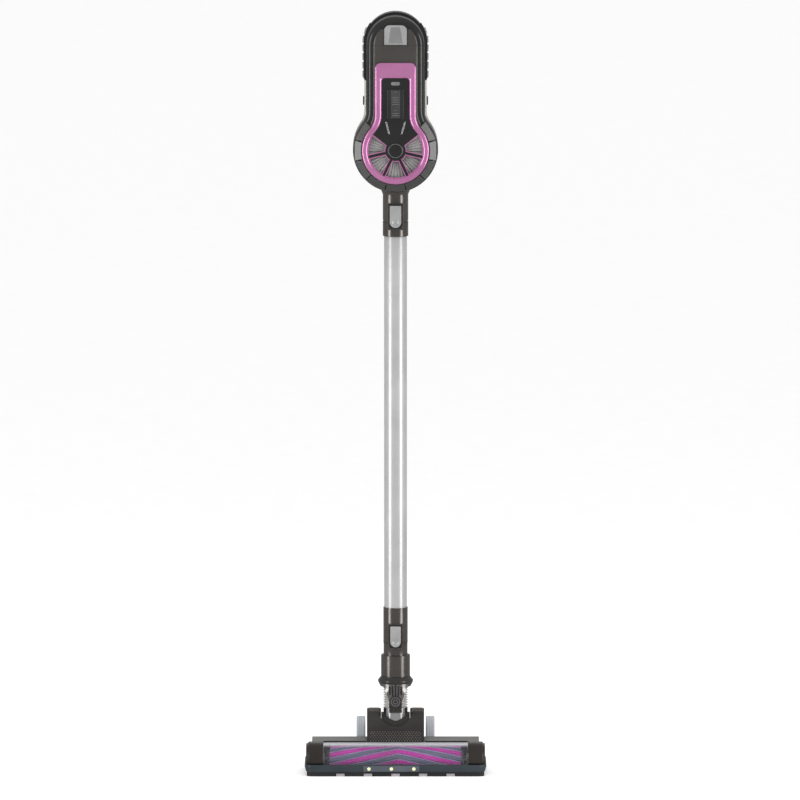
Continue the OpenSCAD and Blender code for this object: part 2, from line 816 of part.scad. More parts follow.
module front_shell() {
    color("#4a4846")
    difference() {
        union() {
            on_pod(-front_depth + 4, split_y) front_outline(0);
            on_pod(-front_depth + 1.6, -front_depth + 4.1) front_outline(0.9);
            on_pod(-front_depth, -front_depth + 1.7) front_outline(2.6);
            // raised bevelled ring round the pink frame
            difference() {
                translate([0, 0, pod_z]) rotate([90, 0, 0]) rotate_extrude() polygon([
                    [ring_r - 1, front_depth - 0.8], [pod_r - 3.4, front_depth - 0.8], [pod_r - 5.4, front_depth + 2.6],
                    [ring_r + 2, front_depth + 4.4], [ring_r - 1, front_depth + 4.4]
                ]);
                on_pod(-front_depth - 10, -front_depth) frame_outline();
            }
        }
        on_pod(-front_depth + shell_t, split_y + 1) outline(
            pod_r - shell_t, spine_half - shell_t, seam_rise + 1, 0, flare + shell_t
        );
        rod_y(-front_depth - 1, 0, filter_r + 0.2, 0, pod_z);
        box(-stem_half - 0.5, stem_half + 0.5, -front_depth - 1, 0, slider_z0 + 8, slider_z1 - 8);
        rod_z(pod_z - pod_r - 6, pod_z, duct_r + duct_wall);
    }
}

module trim_frame() {
    color("#c47fb5")
    on_pod(frame_y, -front_depth) difference() {
        frame_outline();
        outline(ring_in, frame_in, panel_top, 3.6, panel_flare);
    }
}

// One opening of the grille, between two spokes
module grille_opening(a) {
    half = 180 / spokes;
    shift = spoke_half / sin(half);
    intersection() {
        difference() {
            circle(window_out);
            circle(window_in);
        }
        rotate(a) translate([shift, 0]) polygon([
            [0, 0], [80 * cos(half), -80 * sin(half)], [80 * cos(half), 80 * sin(half)]
        ]);
    }
}

module grille_panel() {
    color("#2b2b2b")
    difference() {
        on_pod(panel_y, -front_depth - 0.2) outline(ring_in, frame_in, panel_top, 3.6, panel_flare);
        for (i = [-2:2]) on_pod(panel_y - 1, -front_depth) grille_opening(-90 + i * 360 / spokes);
        box(-stem_half - 0.5, stem_half + 0.5, panel_y - 1, 0, slider_z0 + 8, slider_z1 - 8);
    }
}

module exhaust_filter() {
    color("#8f949b")
    difference() {
        rod_y(-front_depth, -front_depth + 9, filter_r, 0, pod_z);
        rod_y(-front_depth + 3, -front_depth + 10, filter_r - 8, 0, pod_z);
    }
}

module hub_cap() {
    color("#3a3a3a") {
        rod_y(panel_y - 1.2, panel_y, hub_r, 0, pod_z);
        rod_y(panel_y - 1.8, panel_y - 1.1, hub_r - 2.2, 0, pod_z);
    }
}

module chrome_strips() {
    color("#e6e6e6")
    both_sides() on_pod(panel_y - strip_t, panel_y) polygon([
        [12.6, 42], [15, 42], [10, 24], [7.9, 24]
    ]);
}

module indicator_lens() {
    color("#bfc3c6")
    translate([0, 0, light_z]) along_y(panel_y - 0.4, panel_y) {
        square([8, 5], center = true);
        for (s = [-1, 1]) translate([s * 4, 0]) circle(2.5);
    }
}

module control_board() {
    color("#2f6b45") {
        box(-18, 18, -front_depth + 7.4, -front_depth + 9, board_z0, light_z + 6);
        box(-7, 7, -front_depth + 4.6, -front_depth + 7.5, slider_z0 + 12, slider_z1 - 12);
        for (x = [-13, 13]) box(x - 3, x + 3, -front_depth + 5, -front_depth + 7.5, slider_z0 + 8, slider_z0 + 16);
    }
}

module power_slider() {
    zm = (slider_z0 + slider_z1) / 2;
    color("#333333") {
        along_x(-slider_half, slider_half) polygon([
            [panel_y - clear, slider_z0], [panel_y - 2, slider_z0], [panel_y - 3.4, zm], [panel_y - 2, slider_z1],
            [panel_y - clear, slider_z1]
        ]);
        box(-stem_half, stem_half, panel_y - 1, -front_depth + 4.4, zm - 9, zm + 9);
    }
}

module rear_outline(inset) {
    outline(pod_r - inset, rear_half - inset, arch_rise - inset, rear_half - inset, flare + inset);
}

module rear_shell() {
    color("#e6e5dd")
    difference() {
        union() {
            difference() {
                on_pod(split_y, rear_depth) rear_outline(0);
                on_pod(split_y - 1, rear_depth - shell_t) rear_outline(shell_t);
            }
            // wall behind the battery's cap
            intersection() {
                on_pod(split_y, split_y + 2) rear_outline(1);
                box(-100, 100, 0, 100, seam_z - 14, seam_z + 90);
            }
            // screw posts
            for (p = screw_places()) rod_y(rear_depth - 12, rear_depth - 1, 4.2, p[0], p[1]);
        }
        for (p = screw_places()) {
            rod_y(rear_depth - 13, rear_depth + 1, 1.5, p[0], p[1]);
            rod_y(rear_depth - 2, rear_depth + 1, 3.1, p[0], p[1]);
        }
        rod_y(split_y + 3, rear_depth + 1, intake_r, 0, pod_z);
        rod_y(split_y + 3, rear_depth + 1, inlet_r + inlet_wall, 0, inlet_z);
        rod_y(rear_depth - 8, rear_depth + 1, 6, rear_half - 13, pod_z + 81);
        rod_z(pod_z - pod_r - 6, pod_z - 30, duct_r + duct_wall);
        both_sides() box(
            rear_half - 5, rear_half + 5, push_y - push_size / 2 - clear, push_y + push_size / 2 + clear,
            push_z - push_size / 2 - clear, push_z + push_size / 2 + clear
        );
    }
}

function screw_places() = [
    for (x = [-26, 26], z = [seam_rise + 4, seam_rise - 48]) [x, pod_z + z],
    for (a = [20, 160]) [(pod_r - 8) * cos(a), pod_z + (pod_r - 8) * sin(a)]
];

module shell_screws() {
    color("#70757c")
    for (p = screw_places()) {
        rod_y(rear_depth - 11, rear_depth - 1.9, 1.5, p[0], p[1]);
        rod_y(rear_depth - 2, rear_depth - 0.4, 3.1, p[0], p[1]);
    }
}

module side_grips() {
    color("#3b3b3d")
    intersection() {
        on_pod(split_y + 3, rear_depth - 3) difference() {
            outline(pod_r, grip_half, arch_rise + 1.1, grip_half, flare - 1.1);
            outline(pod_r - 1, rear_half, arch_rise, rear_half, flare);
        }
        box(-100, 100, 0, 100, seam_z - 52, seam_z + 27.5);
    }
}

module handle_loop() {
    y1 = handle_y1;
    z0 = handle_z0;
    z1 = handle_z1;
    color("#55544f")
    along_x(-handle_w / 2, handle_w / 2) difference() {
        polygon(concat(
            [[rear_depth, z1], [rear_depth, z0]], arc(y1 - 24, z0 + 24, 24, -90, 0, 8),
            arc(y1 - 24, z1 - 24, 24, 0, 90, 8)
        ));
        polygon(concat(
            [[rear_depth - 1, z1 - handle_bar], [rear_depth - 1, z0 + handle_bar - 2]],
            arc(y1 - handle_rear - 10, z0 + handle_bar + 8, 10, -90, 0, 6),
            arc(y1 - handle_rear - 10, z1 - handle_bar - 10, 10, 0, 90, 6)
        ));
    }
}

module handle_grip() {
    color("#2b2b2d")
    box(-handle_w / 2 + 2, handle_w / 2 - 2, handle_y1, handle_y1 + 2.5, handle_z0 + 28, handle_z1 - 28);
}

module motor_can() {
    color("#8f9296")
    difference() {
        union() {
            rod_y(can_y0, can_y1, motor_can_r, 0, pod_z);
            rod_y(can_y1 - 3, can_y1, motor_can_r + 2, 0, pod_z);
        }
        rod_y(can_y0 + can_wall, can_y1 - can_wall, motor_can_r - can_wall, 0, pod_z);
        rod_y(can_y0 - 1, can_y1 + 1, fan_shaft_r + pin_gap, 0, pod_z);
    }
}

module fan_rotor() {
    color("#e0b040") {
        rod_y(can_y0 - 2, can_y1 + 14, fan_shaft_r, 0, pod_z);
        rod_y(can_y0 + 6, can_y1 - 6, 13, 0, pod_z);
        rod_y(can_y1 + 4, can_y1 + 5.6, fan_r, 0, pod_z);
        for (i = [0:8]) translate([0, 0, pod_z]) rotate([0, i * 40, 0]) translate([0, 0, -pod_z])
            box(-0.6, 0.6, can_y1 + 5, can_y1 + 12, pod_z + 4, pod_z + fan_r - 1);
        rod_y(can_y1 + 5, can_y1 + 13, 6, 0, pod_z);
    }
}

module inlet_duct() {
    top = inlet_z + inlet_r + inlet_wall + 0.8;
    color("#7a7a7c")
    difference() {
        union() {
            rod_z(cone_top, top, duct_r + duct_wall);
            rod_y(0, rear_depth, inlet_r + inlet_wall, 0, inlet_z);
        }
        rod_z(cone_top - 1, top - 2, duct_r);
        rod_y(0, rear_depth + 1, inlet_r, 0, inlet_z);
    }
}

module charge_socket() {
    x = rear_half - 13;
    z = pod_z + 81;
    color("#1c1c1c")
    difference() {
        rod_y(rear_depth - 8, rear_depth, 6, x, z);
        rod_y(rear_depth - 6, rear_depth + 1, 2.75, x, z);
    }
}

// Push button for letting the dust cup go, in the side of the rear shell
module push_button() {
    s = push_size / 2;
    color("#2a2a2a") {
        box(rear_half - 5, rear_half + 2, push_y - s, push_y + s, push_z - s, push_z + s);
        box(rear_half - 6.5, rear_half - 4.9, push_y - s - 2, push_y + s + 2, push_z - s - 1, push_z + s + 2);
    }
}

module release_left() {
    mirror([1, 0, 0]) push_button();
}

module release_right() {
    push_button();
}

// ---------------------------------------------------------------- battery

module cap_arch(r) {
    difference() {
        translate([0, seam_rise]) circle(r);
        translate([-100, -100 + seam_rise + cap_gap]) square([200, 100]);
    }
}

module battery_case() {
    color("#262628")
    difference() {
        union() {
            on_pod(-front_depth + 4, split_y - 0.2) cap_arch(spine_half);
            on_pod(-front_depth + 1.6, -front_depth + 4.1) cap_arch(spine_half - 0.9);
            on_pod(-front_depth, -front_depth + 1.7) cap_arch(spine_half - 2.6);
            box(-case_half, case_half, case_y0, case_y1, case_foot, seam_z + 1);
        }
        box(
            -case_half + case_wall, case_half - case_wall, case_y0 + case_wall, case_y1 - case_wall,
            case_foot + case_wall, case_foot + cell_len + 6
        );
        // hollow behind the release button, open towards the rear shell
        intersection() {
            on_pod(-front_depth + 9, split_y + 1) cap_arch(spine_half - 3);
            box(-100, 100, -100, 100, seam_z + 3, seam_z + 100);
        }
        // pocket of the release button
        translate([0, 0, seam_z + 1]) along_y(-front_depth - 1, -front_depth + 6) release_shape(0.4);
    }
}

module release_shape(grow) {
    w = release_w / 2 + grow;
    r = release_c + grow;
    top = release_h + grow;
    polygon(concat([[-w, -grow], [w, -grow]], arc(w - r, top - r, r, 0, 90, 8), arc(r - w, top - r, r, 90, 180, 8)));
}

module battery_cells() {
    color("#3f7fb5")
    for (i = [-1:1], j = [0, 1]) {
        translate([i * cell_pitch, (case_y0 + case_y1) / 2 + (j - 0.5) * cell_pitch, case_foot + case_wall])
            cylinder(h = cell_len, r = cell_r);
    }
}

module battery_button() {
    color("#b0b0b0")
    translate([0, 0, seam_z + 1]) along_y(-front_depth - 1.4, -front_depth + 2.6) release_shape(0);
}

// ---------------------------------------------------------------- dust cup

module dust_cup() {
    color("#6d6a78", 0.5)
    difference() {
        union() {
            rod_y(cup_y0, cup_y1, cup_r, 0, pod_z);
            // ears of the latch and lugs of the door's hinge
            both_sides() box(latch_half + 0.4, latch_half + 3, latch_pin_y - 3, latch_pin_y + 3, latch_z - 6, latch_z + 2.5);
            both_sides() box(7, 11, cup_y1 - 5, cup_y1 + 2, door_hinge_z - 3, door_hinge_z + 8);
        }
        rod_y(cup_y0 + cup_wall, cup_y1 + 1, cup_r - cup_wall, 0, pod_z);
        box(-20, 20, cup_y1, cup_y1 + 10, door_hinge_z + 3.2, pod_z);
        rod_y(cup_y0 - 1, cup_y0 + cup_wall + 1, cartridge_r - 1, 0, pod_z);
        rod_y(cup_y0 - 1, cup_y0 + cup_wall + 1, inlet_r, 0, inlet_z);
        rod_x(-20, 20, latch_pin_r + pin_gap, latch_pin_y, latch_z + latch_t / 2 - 0.2);
        rod_x(-20, 20, door_pin_r + pin_gap, cup_y1, door_hinge_z);
    }
}

module filter_cartridge() {
    ribs = 24;
    color("#d9d5cc")
    difference() {
        union() {
            rod_y(cup_y0, cup_y0 + cup_wall, cartridge_r - 1, 0, pod_z);
            rod_y(cup_y0 + cup_wall, cup_y0 + cup_wall + 2.5, cartridge_r, 0, pod_z);
            rod_y(cup_y0 + cup_wall + 2, cup_y0 + cartridge_len, cartridge_r - 4, 0, pod_z);
            rod_y(cup_y0 + cartridge_len - 2, cup_y0 + cartridge_len, cartridge_r - 2, 0, pod_z);
        }
        rod_y(cup_y0 - 1, cup_y0 + cartridge_len - 3, cartridge_r - 8, 0, pod_z);
        for (i = [0:ribs - 1]) translate([0, 0, pod_z]) rotate([0, i * 360 / ribs, 0])
            translate([0, 0, -pod_z]) box(
                -1.1, 1.1, cup_y0 + cup_wall + 5, cup_y0 + cartridge_len - 5, pod_z + cartridge_r - 5.6, pod_z + cartridge_r
            );
    }
}

module cup_door() {
    color("#55525e", 0.6)
    difference() {
        union() {
            rod_y(door_y, door_y + door_t, cup_r, 0, pod_z);
            box(-6.7, 6.7, door_y + 0.1, door_y + door_t - 0.2, door_hinge_z, pod_z - cup_r + 6);
            rod_x(-6.7, 6.7, 3, cup_y1, door_hinge_z);
            rod_x(-11, 11, door_pin_r, cup_y1, door_hinge_z);
        }
        rod_y(door_y + door_t - 1.2, door_y + door_t + 1, cup_r - 8, 0, pod_z);
    }
}

module cup_latch() {
    y0 = latch_pin_y - 12;
    y1 = door_y + door_t + 3;
    color("#b0b0b0") {
        box(-latch_half, latch_half, y0, y1, latch_z, latch_z + latch_t);
        box(-latch_half, latch_half, door_y + door_t + 0.4, y1, pod_z + cup_r + 0.5, latch_z + 0.5);
        rod_x(-latch_half - 2.8, latch_half + 2.8, latch_pin_r, latch_pin_y, latch_z + latch_t / 2 - 0.2);
    }
}

sole_chassis();
glide_strips();
front_bumper();
led_bar();
led_lenses();
brush_window();
end_caps();
rear_deck();
centre_housing();
wheel_axles();
wheel_left();
wheel_right();
head_motor();
motor_pulley();
drive_belt();
roller_bearings();
roller_core();
felt_magenta();
felt_grey();
head_screws();
pitch_barrel();
swivel_pins();
neck_hose();
swivel_yoke();
yoke_spigot();
wand_tube();
wand_sleeve();
wand_button();
wand_spring();
wand_spigot();
neck_sleeve();
neck_button();
neck_spring();
front_shell();
trim_frame();
grille_panel();
exhaust_filter();
hub_cap();
chrome_strips();
indicator_lens();
control_board();
power_slider();
rear_shell();
shell_screws();
side_grips();
handle_loop();
handle_grip();
motor_can();
fan_rotor();
inlet_duct();
charge_socket();
release_left();
release_right();
battery_case();
battery_cells();
battery_button();
dust_cup();
filter_cartridge();
cup_door();
cup_latch();
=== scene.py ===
# Cordless stick vacuum: the finished surfaces of every visible piece, put together
# from the floor head up through the neck and the wand to the handset, battery and cup.
import json
import math

import bmesh
import bpy
from mathutils import Matrix, Vector


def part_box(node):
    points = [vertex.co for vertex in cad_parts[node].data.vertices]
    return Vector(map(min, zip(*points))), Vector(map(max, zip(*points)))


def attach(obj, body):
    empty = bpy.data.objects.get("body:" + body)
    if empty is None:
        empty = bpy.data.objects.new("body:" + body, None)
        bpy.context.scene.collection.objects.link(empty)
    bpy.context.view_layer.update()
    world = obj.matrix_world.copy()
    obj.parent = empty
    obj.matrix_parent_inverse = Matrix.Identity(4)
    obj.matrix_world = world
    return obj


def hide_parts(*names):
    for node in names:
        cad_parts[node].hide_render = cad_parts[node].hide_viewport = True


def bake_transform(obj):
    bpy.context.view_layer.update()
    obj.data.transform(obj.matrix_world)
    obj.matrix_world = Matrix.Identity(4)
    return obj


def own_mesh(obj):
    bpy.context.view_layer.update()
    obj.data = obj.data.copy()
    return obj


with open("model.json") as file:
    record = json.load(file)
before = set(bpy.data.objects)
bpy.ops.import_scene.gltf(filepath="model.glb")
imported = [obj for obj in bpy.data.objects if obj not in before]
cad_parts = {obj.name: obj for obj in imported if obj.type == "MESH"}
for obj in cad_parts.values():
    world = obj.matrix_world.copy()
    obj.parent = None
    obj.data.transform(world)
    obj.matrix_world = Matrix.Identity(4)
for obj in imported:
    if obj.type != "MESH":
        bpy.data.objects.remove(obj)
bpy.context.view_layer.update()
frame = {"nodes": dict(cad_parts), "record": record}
scene = bpy.context.scene
MM = 0.001


# ---------------------------------------------------------------- sole chassis
# The black bottom moulding of the floor head, with the suction mouth and the roller's
# end walls. It is one satin plastic moulding; its edges are eased and its rim tapers
# in towards the floor. The bumper is pushed down over it.
bodies = frame["record"]["behaviour"]["bodies"]
slots = {part["node"]: part["material_slot"] for part in frame["record"]["subparts"]}


def effect(name, scale, build):
    """A shared surface effect: a node group with a Scale input and Height and Smudge outputs."""
    group = bpy.data.node_groups.new(name, "ShaderNodeTree")
    socket = group.interface.new_socket("Scale", in_out="INPUT", socket_type="NodeSocketFloat")
    socket.default_value = scale
    for output in ("Height", "Smudge"):
        group.interface.new_socket(output, in_out="OUTPUT", socket_type="NodeSocketFloat")
    start = group.nodes.new("NodeGroupInput")
    end = group.nodes.new("NodeGroupOutput")
    place = group.nodes.new("ShaderNodeTexCoord")
    height = build(group, place.outputs["Object"], start.outputs["Scale"])
    smudge = group.nodes.new("ShaderNodeTexNoise")
    smudge.inputs["Scale"].default_value = 22.0
    smudge.inputs["Detail"].default_value = 4.0
    group.links.new(place.outputs["Object"], smudge.inputs["Vector"])
    spread = group.nodes.new("ShaderNodeMapRange")
    spread.inputs["From Min"].default_value = 0.32
    spread.inputs["From Max"].default_value = 0.68
    group.links.new(smudge.outputs["Fac"], spread.inputs["Value"])
    group.links.new(height, end.inputs["Height"])
    group.links.new(spread.outputs["Result"], end.inputs["Smudge"])
    return group


def grain_height(group, place, scale):
    """The fine even grain of a moulded surface."""
    noise = group.nodes.new("ShaderNodeTexNoise")
    noise.inputs["Detail"].default_value = 3.0
    group.links.new(place, noise.inputs["Vector"])
    group.links.new(scale, noise.inputs["Scale"])
    return noise.outputs["Fac"]


moulded_grain = effect("moulded_grain", 1500.0, grain_height)


def finish(name, group, scale, dark, light, rough, bump, **sockets):
    """A material whose colour, gloss and relief vary by one shared effect."""
    material = bpy.data.materials.new(name)
    material.use_nodes = True
    tree = material.node_tree
    shader = tree.nodes["Principled BSDF"]
    grain = tree.nodes.new("ShaderNodeGroup")
    grain.node_tree = group
    grain.inputs["Scale"].default_value = scale
    tone = tree.nodes.new("ShaderNodeMix")
    tone.data_type = "RGBA"
    tone.inputs[6].default_value = (*dark, 1.0)
    tone.inputs[7].default_value = (*light, 1.0)
    tree.links.new(grain.outputs["Smudge"], tone.inputs[0])
    tree.links.new(tone.outputs[2], shader.inputs["Base Color"])
    gloss = tree.nodes.new("ShaderNodeMapRange")
    gloss.inputs["To Min"].default_value = rough[0]
    gloss.inputs["To Max"].default_value = rough[1]
    tree.links.new(grain.outputs["Smudge"], gloss.inputs["Value"])
    tree.links.new(gloss.outputs["Result"], shader.inputs["Roughness"])
    relief = tree.nodes.new("ShaderNodeBump")
    relief.inputs["Strength"].default_value = bump
    relief.inputs["Distance"].default_value = 0.2 * MM
    tree.links.new(grain.outputs["Height"], relief.inputs["Height"])
    tree.links.new(relief.outputs["Normal"], shader.inputs["Normal"])
    for socket, value in sockets.items():
        shader.inputs[socket.replace("_", " ")].default_value = value
    return material


def fit(piece, *cad_nodes):
    """Joins a finished piece to the body of the CAD node it stands for."""
    node = cad_nodes[0]
    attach(piece, next(body for body, members in bodies.items() if node in members))
    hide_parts(*cad_nodes)


def piece(name, bm, material, *cad_nodes, round_off=0.0, segments=3, sharp=38.0, like=None):
    """Makes a bmesh an object with smooth faces, rounds its sharp edges and fits it."""
    bmesh.ops.remove_doubles(bm, verts=bm.verts, dist=1e-6)
    bmesh.ops.recalc_face_normals(bm, faces=bm.faces)
    mesh = bpy.data.meshes.new(name)
    bm.to_mesh(mesh)
    bm.free()
    mesh.materials.append(material)
    mesh.shade_smooth()
    mesh.set_sharp_from_angle(angle=math.radians(sharp))
    made = bpy.data.objects.new(name, mesh)
    scene.collection.objects.link(made)
    if round_off:
        bevel = made.modifiers.new("rounded", "BEVEL")
        bevel.width = round_off
        bevel.segments = segments
        bevel.limit_method = "ANGLE"
        bevel.angle_limit = math.radians(sharp)
        bevel.harden_normals = False
        bevel.use_clamp_overlap = True
    if like:
        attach(made, next(body for body, members in bodies.items() if like in members))
    else:
        fit(made, *cad_nodes)
    return made


def moulding(node):
    """A copy of a CAD node's shape with its doubles merged and its flat faces joined."""
    bm = bmesh.new()
    bm.from_mesh(frame["nodes"][node].data)
    bmesh.ops.remove_doubles(bm, verts=bm.verts, dist=1e-6)
    bmesh.ops.dissolve_limit(bm, angle_limit=math.radians(0.6), verts=bm.verts, edges=bm.edges)
    return bm


def tuck_in(bm, level, slope, start):
    """Draws the outer wall in below a level, as far as the slope says."""
    for vert in bm.verts:
        if vert.co.z < level and abs(vert.co.x) > start:
            vert.co.x -= math.copysign((level - vert.co.z) * slope, vert.co.x)


black_satin = finish(
    "black_satin", moulded_grain, 1500.0, (0.012, 0.012, 0.014), (0.02, 0.021, 0.024), (0.38, 0.5), 0.15
)
rim_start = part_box("front_bumper")[1].x - 3 * MM
bm = moulding("sole_chassis")
tuck_in(bm, 13 * MM, 0.3, rim_start)
piece("sole_chassis_moulding", bm, black_satin, "sole_chassis", round_off=0.5 * MM)
glide_felt = finish(
    "glide_felt", moulded_grain, 2600.0, (0.05, 0.052, 0.06), (0.09, 0.092, 0.1), (0.9, 1.0), 0.8
)
piece("glide_felt_strips", moulding("glide_strips"), glide_felt, "glide_strips", round_off=0.3 * MM)


# ---------------------------------------------------------------- front bumper and headlights
# A soft slate-blue band round the front and the sides of the head, drawn in at the foot.
# A lighter strip in its front holds three small warm headlights with domed lenses.
slate = finish(
    "slate_bumper", moulded_grain, 1200.0, (0.026, 0.037, 0.045), (0.038, 0.051, 0.061), (0.34, 0.44), 0.1
)
bumper_low, bumper_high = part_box("front_bumper")


def skin(bm, loops, capped=True):
    """Joins a row of loops of points, all of one count, into a skin and closes both ends."""
    rings = [[bm.verts.new(point) for point in loop] for loop in loops]
    for one, two in zip(rings, rings[1:]):
        for i in range(len(one)):
            bm.faces.new((one[i - 1], one[i], two[i], two[i - 1]))
    if capped:
        bm.faces.new(rings[0])
        bm.faces.new(rings[-1])


def head_loop(side_inset, front_inset, z):
    """Plan of the head at a height: rounded front corners and a square back."""
    half = bumper_high.x - side_inset
    front = bumper_low.y + front_inset
    corner = 12 * MM - side_inset
    points = [Vector((half, bumper_high.y, z))]
    for middle, start in ((half - corner, 0.0), (corner - half, -90.0)):
        for i in range(9):
            turn = math.radians(start - 90.0 * i / 8)
            points.append(
                Vector((middle + corner * math.cos(turn), front + corner + corner * math.sin(turn), z))
            )
    return points + [Vector((-half, bumper_high.y, z))]


bm = bmesh.new()
skin(bm, [head_loop(side * MM, front * MM, bumper_low.z + up * MM) for side, front, up in (
    (2.1, 0.5, 0.0), (1.2, 0.3, 2.8), (0.4, 0.1, 5.4), (0.0, 0.0, 6.8), (0.0, 0.0, 8.2), (0.2, 0.2, 9.2),
    (0.8, 0.8, 9.9),
    (1.8, 1.8, 10.2), (4.6, 4.6, 10.2), (5.0, 5.0, 9.6), (5.0, 5.0, 0.0), (2.1, 0.5, 0.0)
)], capped=False)
piece("front_bumper_band", bm, slate, "front_bumper", round_off=0.3 * MM, sharp=50.0)
strip_grey = finish(
    "headlight_strip_grey", moulded_grain, 1200.0, (0.075, 0.088, 0.105), (0.1, 0.112, 0.13), (0.3, 0.4), 0.1
)
piece("headlight_strip", moulding("led_bar"), strip_grey, "led_bar", round_off=0.35 * MM)


def lathe(bm, profile, centre, axis, steps=64, turn=360.0):
    """Spins a profile of (radius, place along the axis) round an axis through the centre."""
    along = Vector(axis)
    out = Vector((0, 0, 1)) if abs(along.z) < 0.5 else Vector((0, -1, 0))
    verts = [bm.verts.new(centre + out * r + along * h) for r, h in profile]
    edges = [bm.edges.new(pair) for pair in zip(verts, verts[1:])]
    bmesh.ops.spin(
        bm, geom=verts + edges, cent=centre, axis=along, dvec=(0, 0, 0),
        angle=math.radians(turn), steps=steps, use_merge=turn == 360.0, use_duplicate=False
    )
    bmesh.ops.remove_doubles(bm, verts=bm.verts, dist=1e-6)


led_glow = finish(
    "led_glow", moulded_grain, 900.0, (0.3, 0.3, 0.2), (0.4, 0.4, 0.28), (0.1, 0.2), 0.05,
    Emission_Color=(0.86, 0.92, 0.5, 1.0), Emission_Strength=0.75
)
led_low, led_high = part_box("led_lenses")
led_r = (led_high.z - led_low.z) / 2
led_mid = (led_low.x + led_high.x) / 2
led_pitch = (led_high.x - led_low.x) / 2 - led_r
bm = bmesh.new()
for i in (-1, 0, 1):
    lathe(
        bm, [
            (0, -0.6 * MM), (led_r * 0.55, -0.4 * MM), (led_r * 0.95, 0.2 * MM), (led_r * 0.95, 1.8 * MM),
            (0, 1.8 * MM)
        ],
        Vector((led_mid + i * led_pitch, led_low.y + 0.2 * MM, (led_low.z + led_high.z) / 2)), (0, 1, 0),
        steps=24
    )
piece("headlight_lenses", bm, led_glow, "led_lenses")


# ---------------------------------------------------------------- brush roller
# A grey-violet core wound with strips of plush felt in a wide V from the middle: magenta,
# slate and lavender. Rows of stiff black tufts stand at both ends. It spins on two bearings.
felt_low, felt_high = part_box("felt_magenta")
brush_at = Vector((0, (felt_low.y + felt_high.y) / 2, (felt_low.z + felt_high.z) / 2))
brush_r = (felt_high.z - felt_low.z) / 2
core_r = brush_r - 6 * MM
felt_half = felt_high.x
strip_pairs = 7
strip_turn = 0.73
point_x = 4.5 * MM


def felt_strip(bm, start, width, side, height=1.0, stations=24):
    """One plush strip from the point of the V to an end, winding down the front as it goes."""
    low = core_r - 0.3 * MM
    tall = (brush_r - low) * height
    shape = [(low, -0.5), (low + tall * 0.72, -0.5), (low + tall * 0.95, -0.38), (low + tall, -0.12)]
    shape += [(r, -a) for r, a in reversed(shape)]
    length = felt_half - side * point_x
    loops = []
    for i in range(stations + 1):
        run = length * i / stations
        turned = start + strip_turn * run / MM
        loops.append([
            brush_at + Vector((point_x + side * run, -r * math.sin(math.radians(turned + a * width)),
                               r * math.cos(math.radians(turned + a * width))))
            for r, a in shape
        ])
    skin(bm, loops)


def plush_height(group, place, scale):
    """The tangled pile of plush felt."""
    noise = group.nodes.new("ShaderNodeTexNoise")
    noise.inputs["Detail"].default_value = 8.0
    noise.inputs["Roughness"].default_value = 0.75
    group.links.new(place, noise.inputs["Vector"])
    group.links.new(scale, noise.inputs["Scale"])
    return noise.outputs["Fac"]


plush_pile = effect("plush_pile", 900.0, plush_height)
felts = {
    colour: finish("plush_" + colour, plush_pile, 900.0, dark, light, (0.9, 1.0), 1.0, Sheen_Weight=0.15)
    for colour, dark, light in (
        ("magenta", (0.24, 0.004, 0.165), (0.42, 0.01, 0.3)),
        ("slate", (0.05, 0.054, 0.1), (0.1, 0.105, 0.18)),
        ("lavender", (0.22, 0.195, 0.33), (0.32, 0.285, 0.45))
    )
}
pitch = 360.0 / strip_pairs
first_strip = 43.5
for colour, offset, width, height in (
    ("magenta", 0.0, 0.47 * pitch, 1.0), ("slate", 0.5 * pitch, 0.4 * pitch, 0.98),
    ("lavender", 0.0, 0.0, 0.0)
):
    bm = bmesh.new()
    for k in range(strip_pairs):
        for side in (-1, 1):
            if colour == "lavender":
                for offset in (0.265 * pitch, 0.735 * pitch):
                    felt_strip(bm, first_strip + k * pitch + offset, 0.07 * pitch, side, 0.93)
            else:
                felt_strip(bm, first_strip + k * pitch + offset, width, side, height)
    if colour == "lavender":
        piece("felt_edging_lavender", bm, felts[colour], like="felt_grey", sharp=60.0)
    else:
        piece(
            "felt_strips_" + colour, bm, felts[colour],
            "felt_magenta" if colour == "magenta" else "felt_grey", sharp=60.0
        )

roller_violet = finish(
    "roller_violet", moulded_grain, 900.0, (0.11, 0.1, 0.14), (0.15, 0.14, 0.19), (0.45, 0.55), 0.1
)
bm = moulding("roller_core")
piece("roller_core_body", bm, roller_violet, "roller_core", round_off=0.4 * MM)
bm = bmesh.new()
tuft_rows = 18
for side in (-1, 1):
    for k in range(tuft_rows):
        angle = math.radians(k * 360.0 / tuft_rows)
        way = Vector((0, -math.sin(angle), math.cos(angle)))
        spot = brush_at + Vector((side * (felt_half + 2.2 * MM), 0, 0)) + way * (core_r + 2.6 * MM)
        turned = way.to_track_quat("Z", "X").to_matrix().to_4x4()
        bmesh.ops.create_cone(
            bm, cap_ends=True, segments=8, radius1=0.9 * MM, radius2=1.3 * MM, depth=6.4 * MM,
            matrix=Matrix.Translation(spot) @ turned
        )
tuft_black = finish(
    "tuft_black", plush_pile, 2200.0, (0.01, 0.01, 0.012), (0.03, 0.03, 0.035), (0.6, 0.8), 0.8
)
piece("end_tufts", bm, tuft_black, like="roller_core")


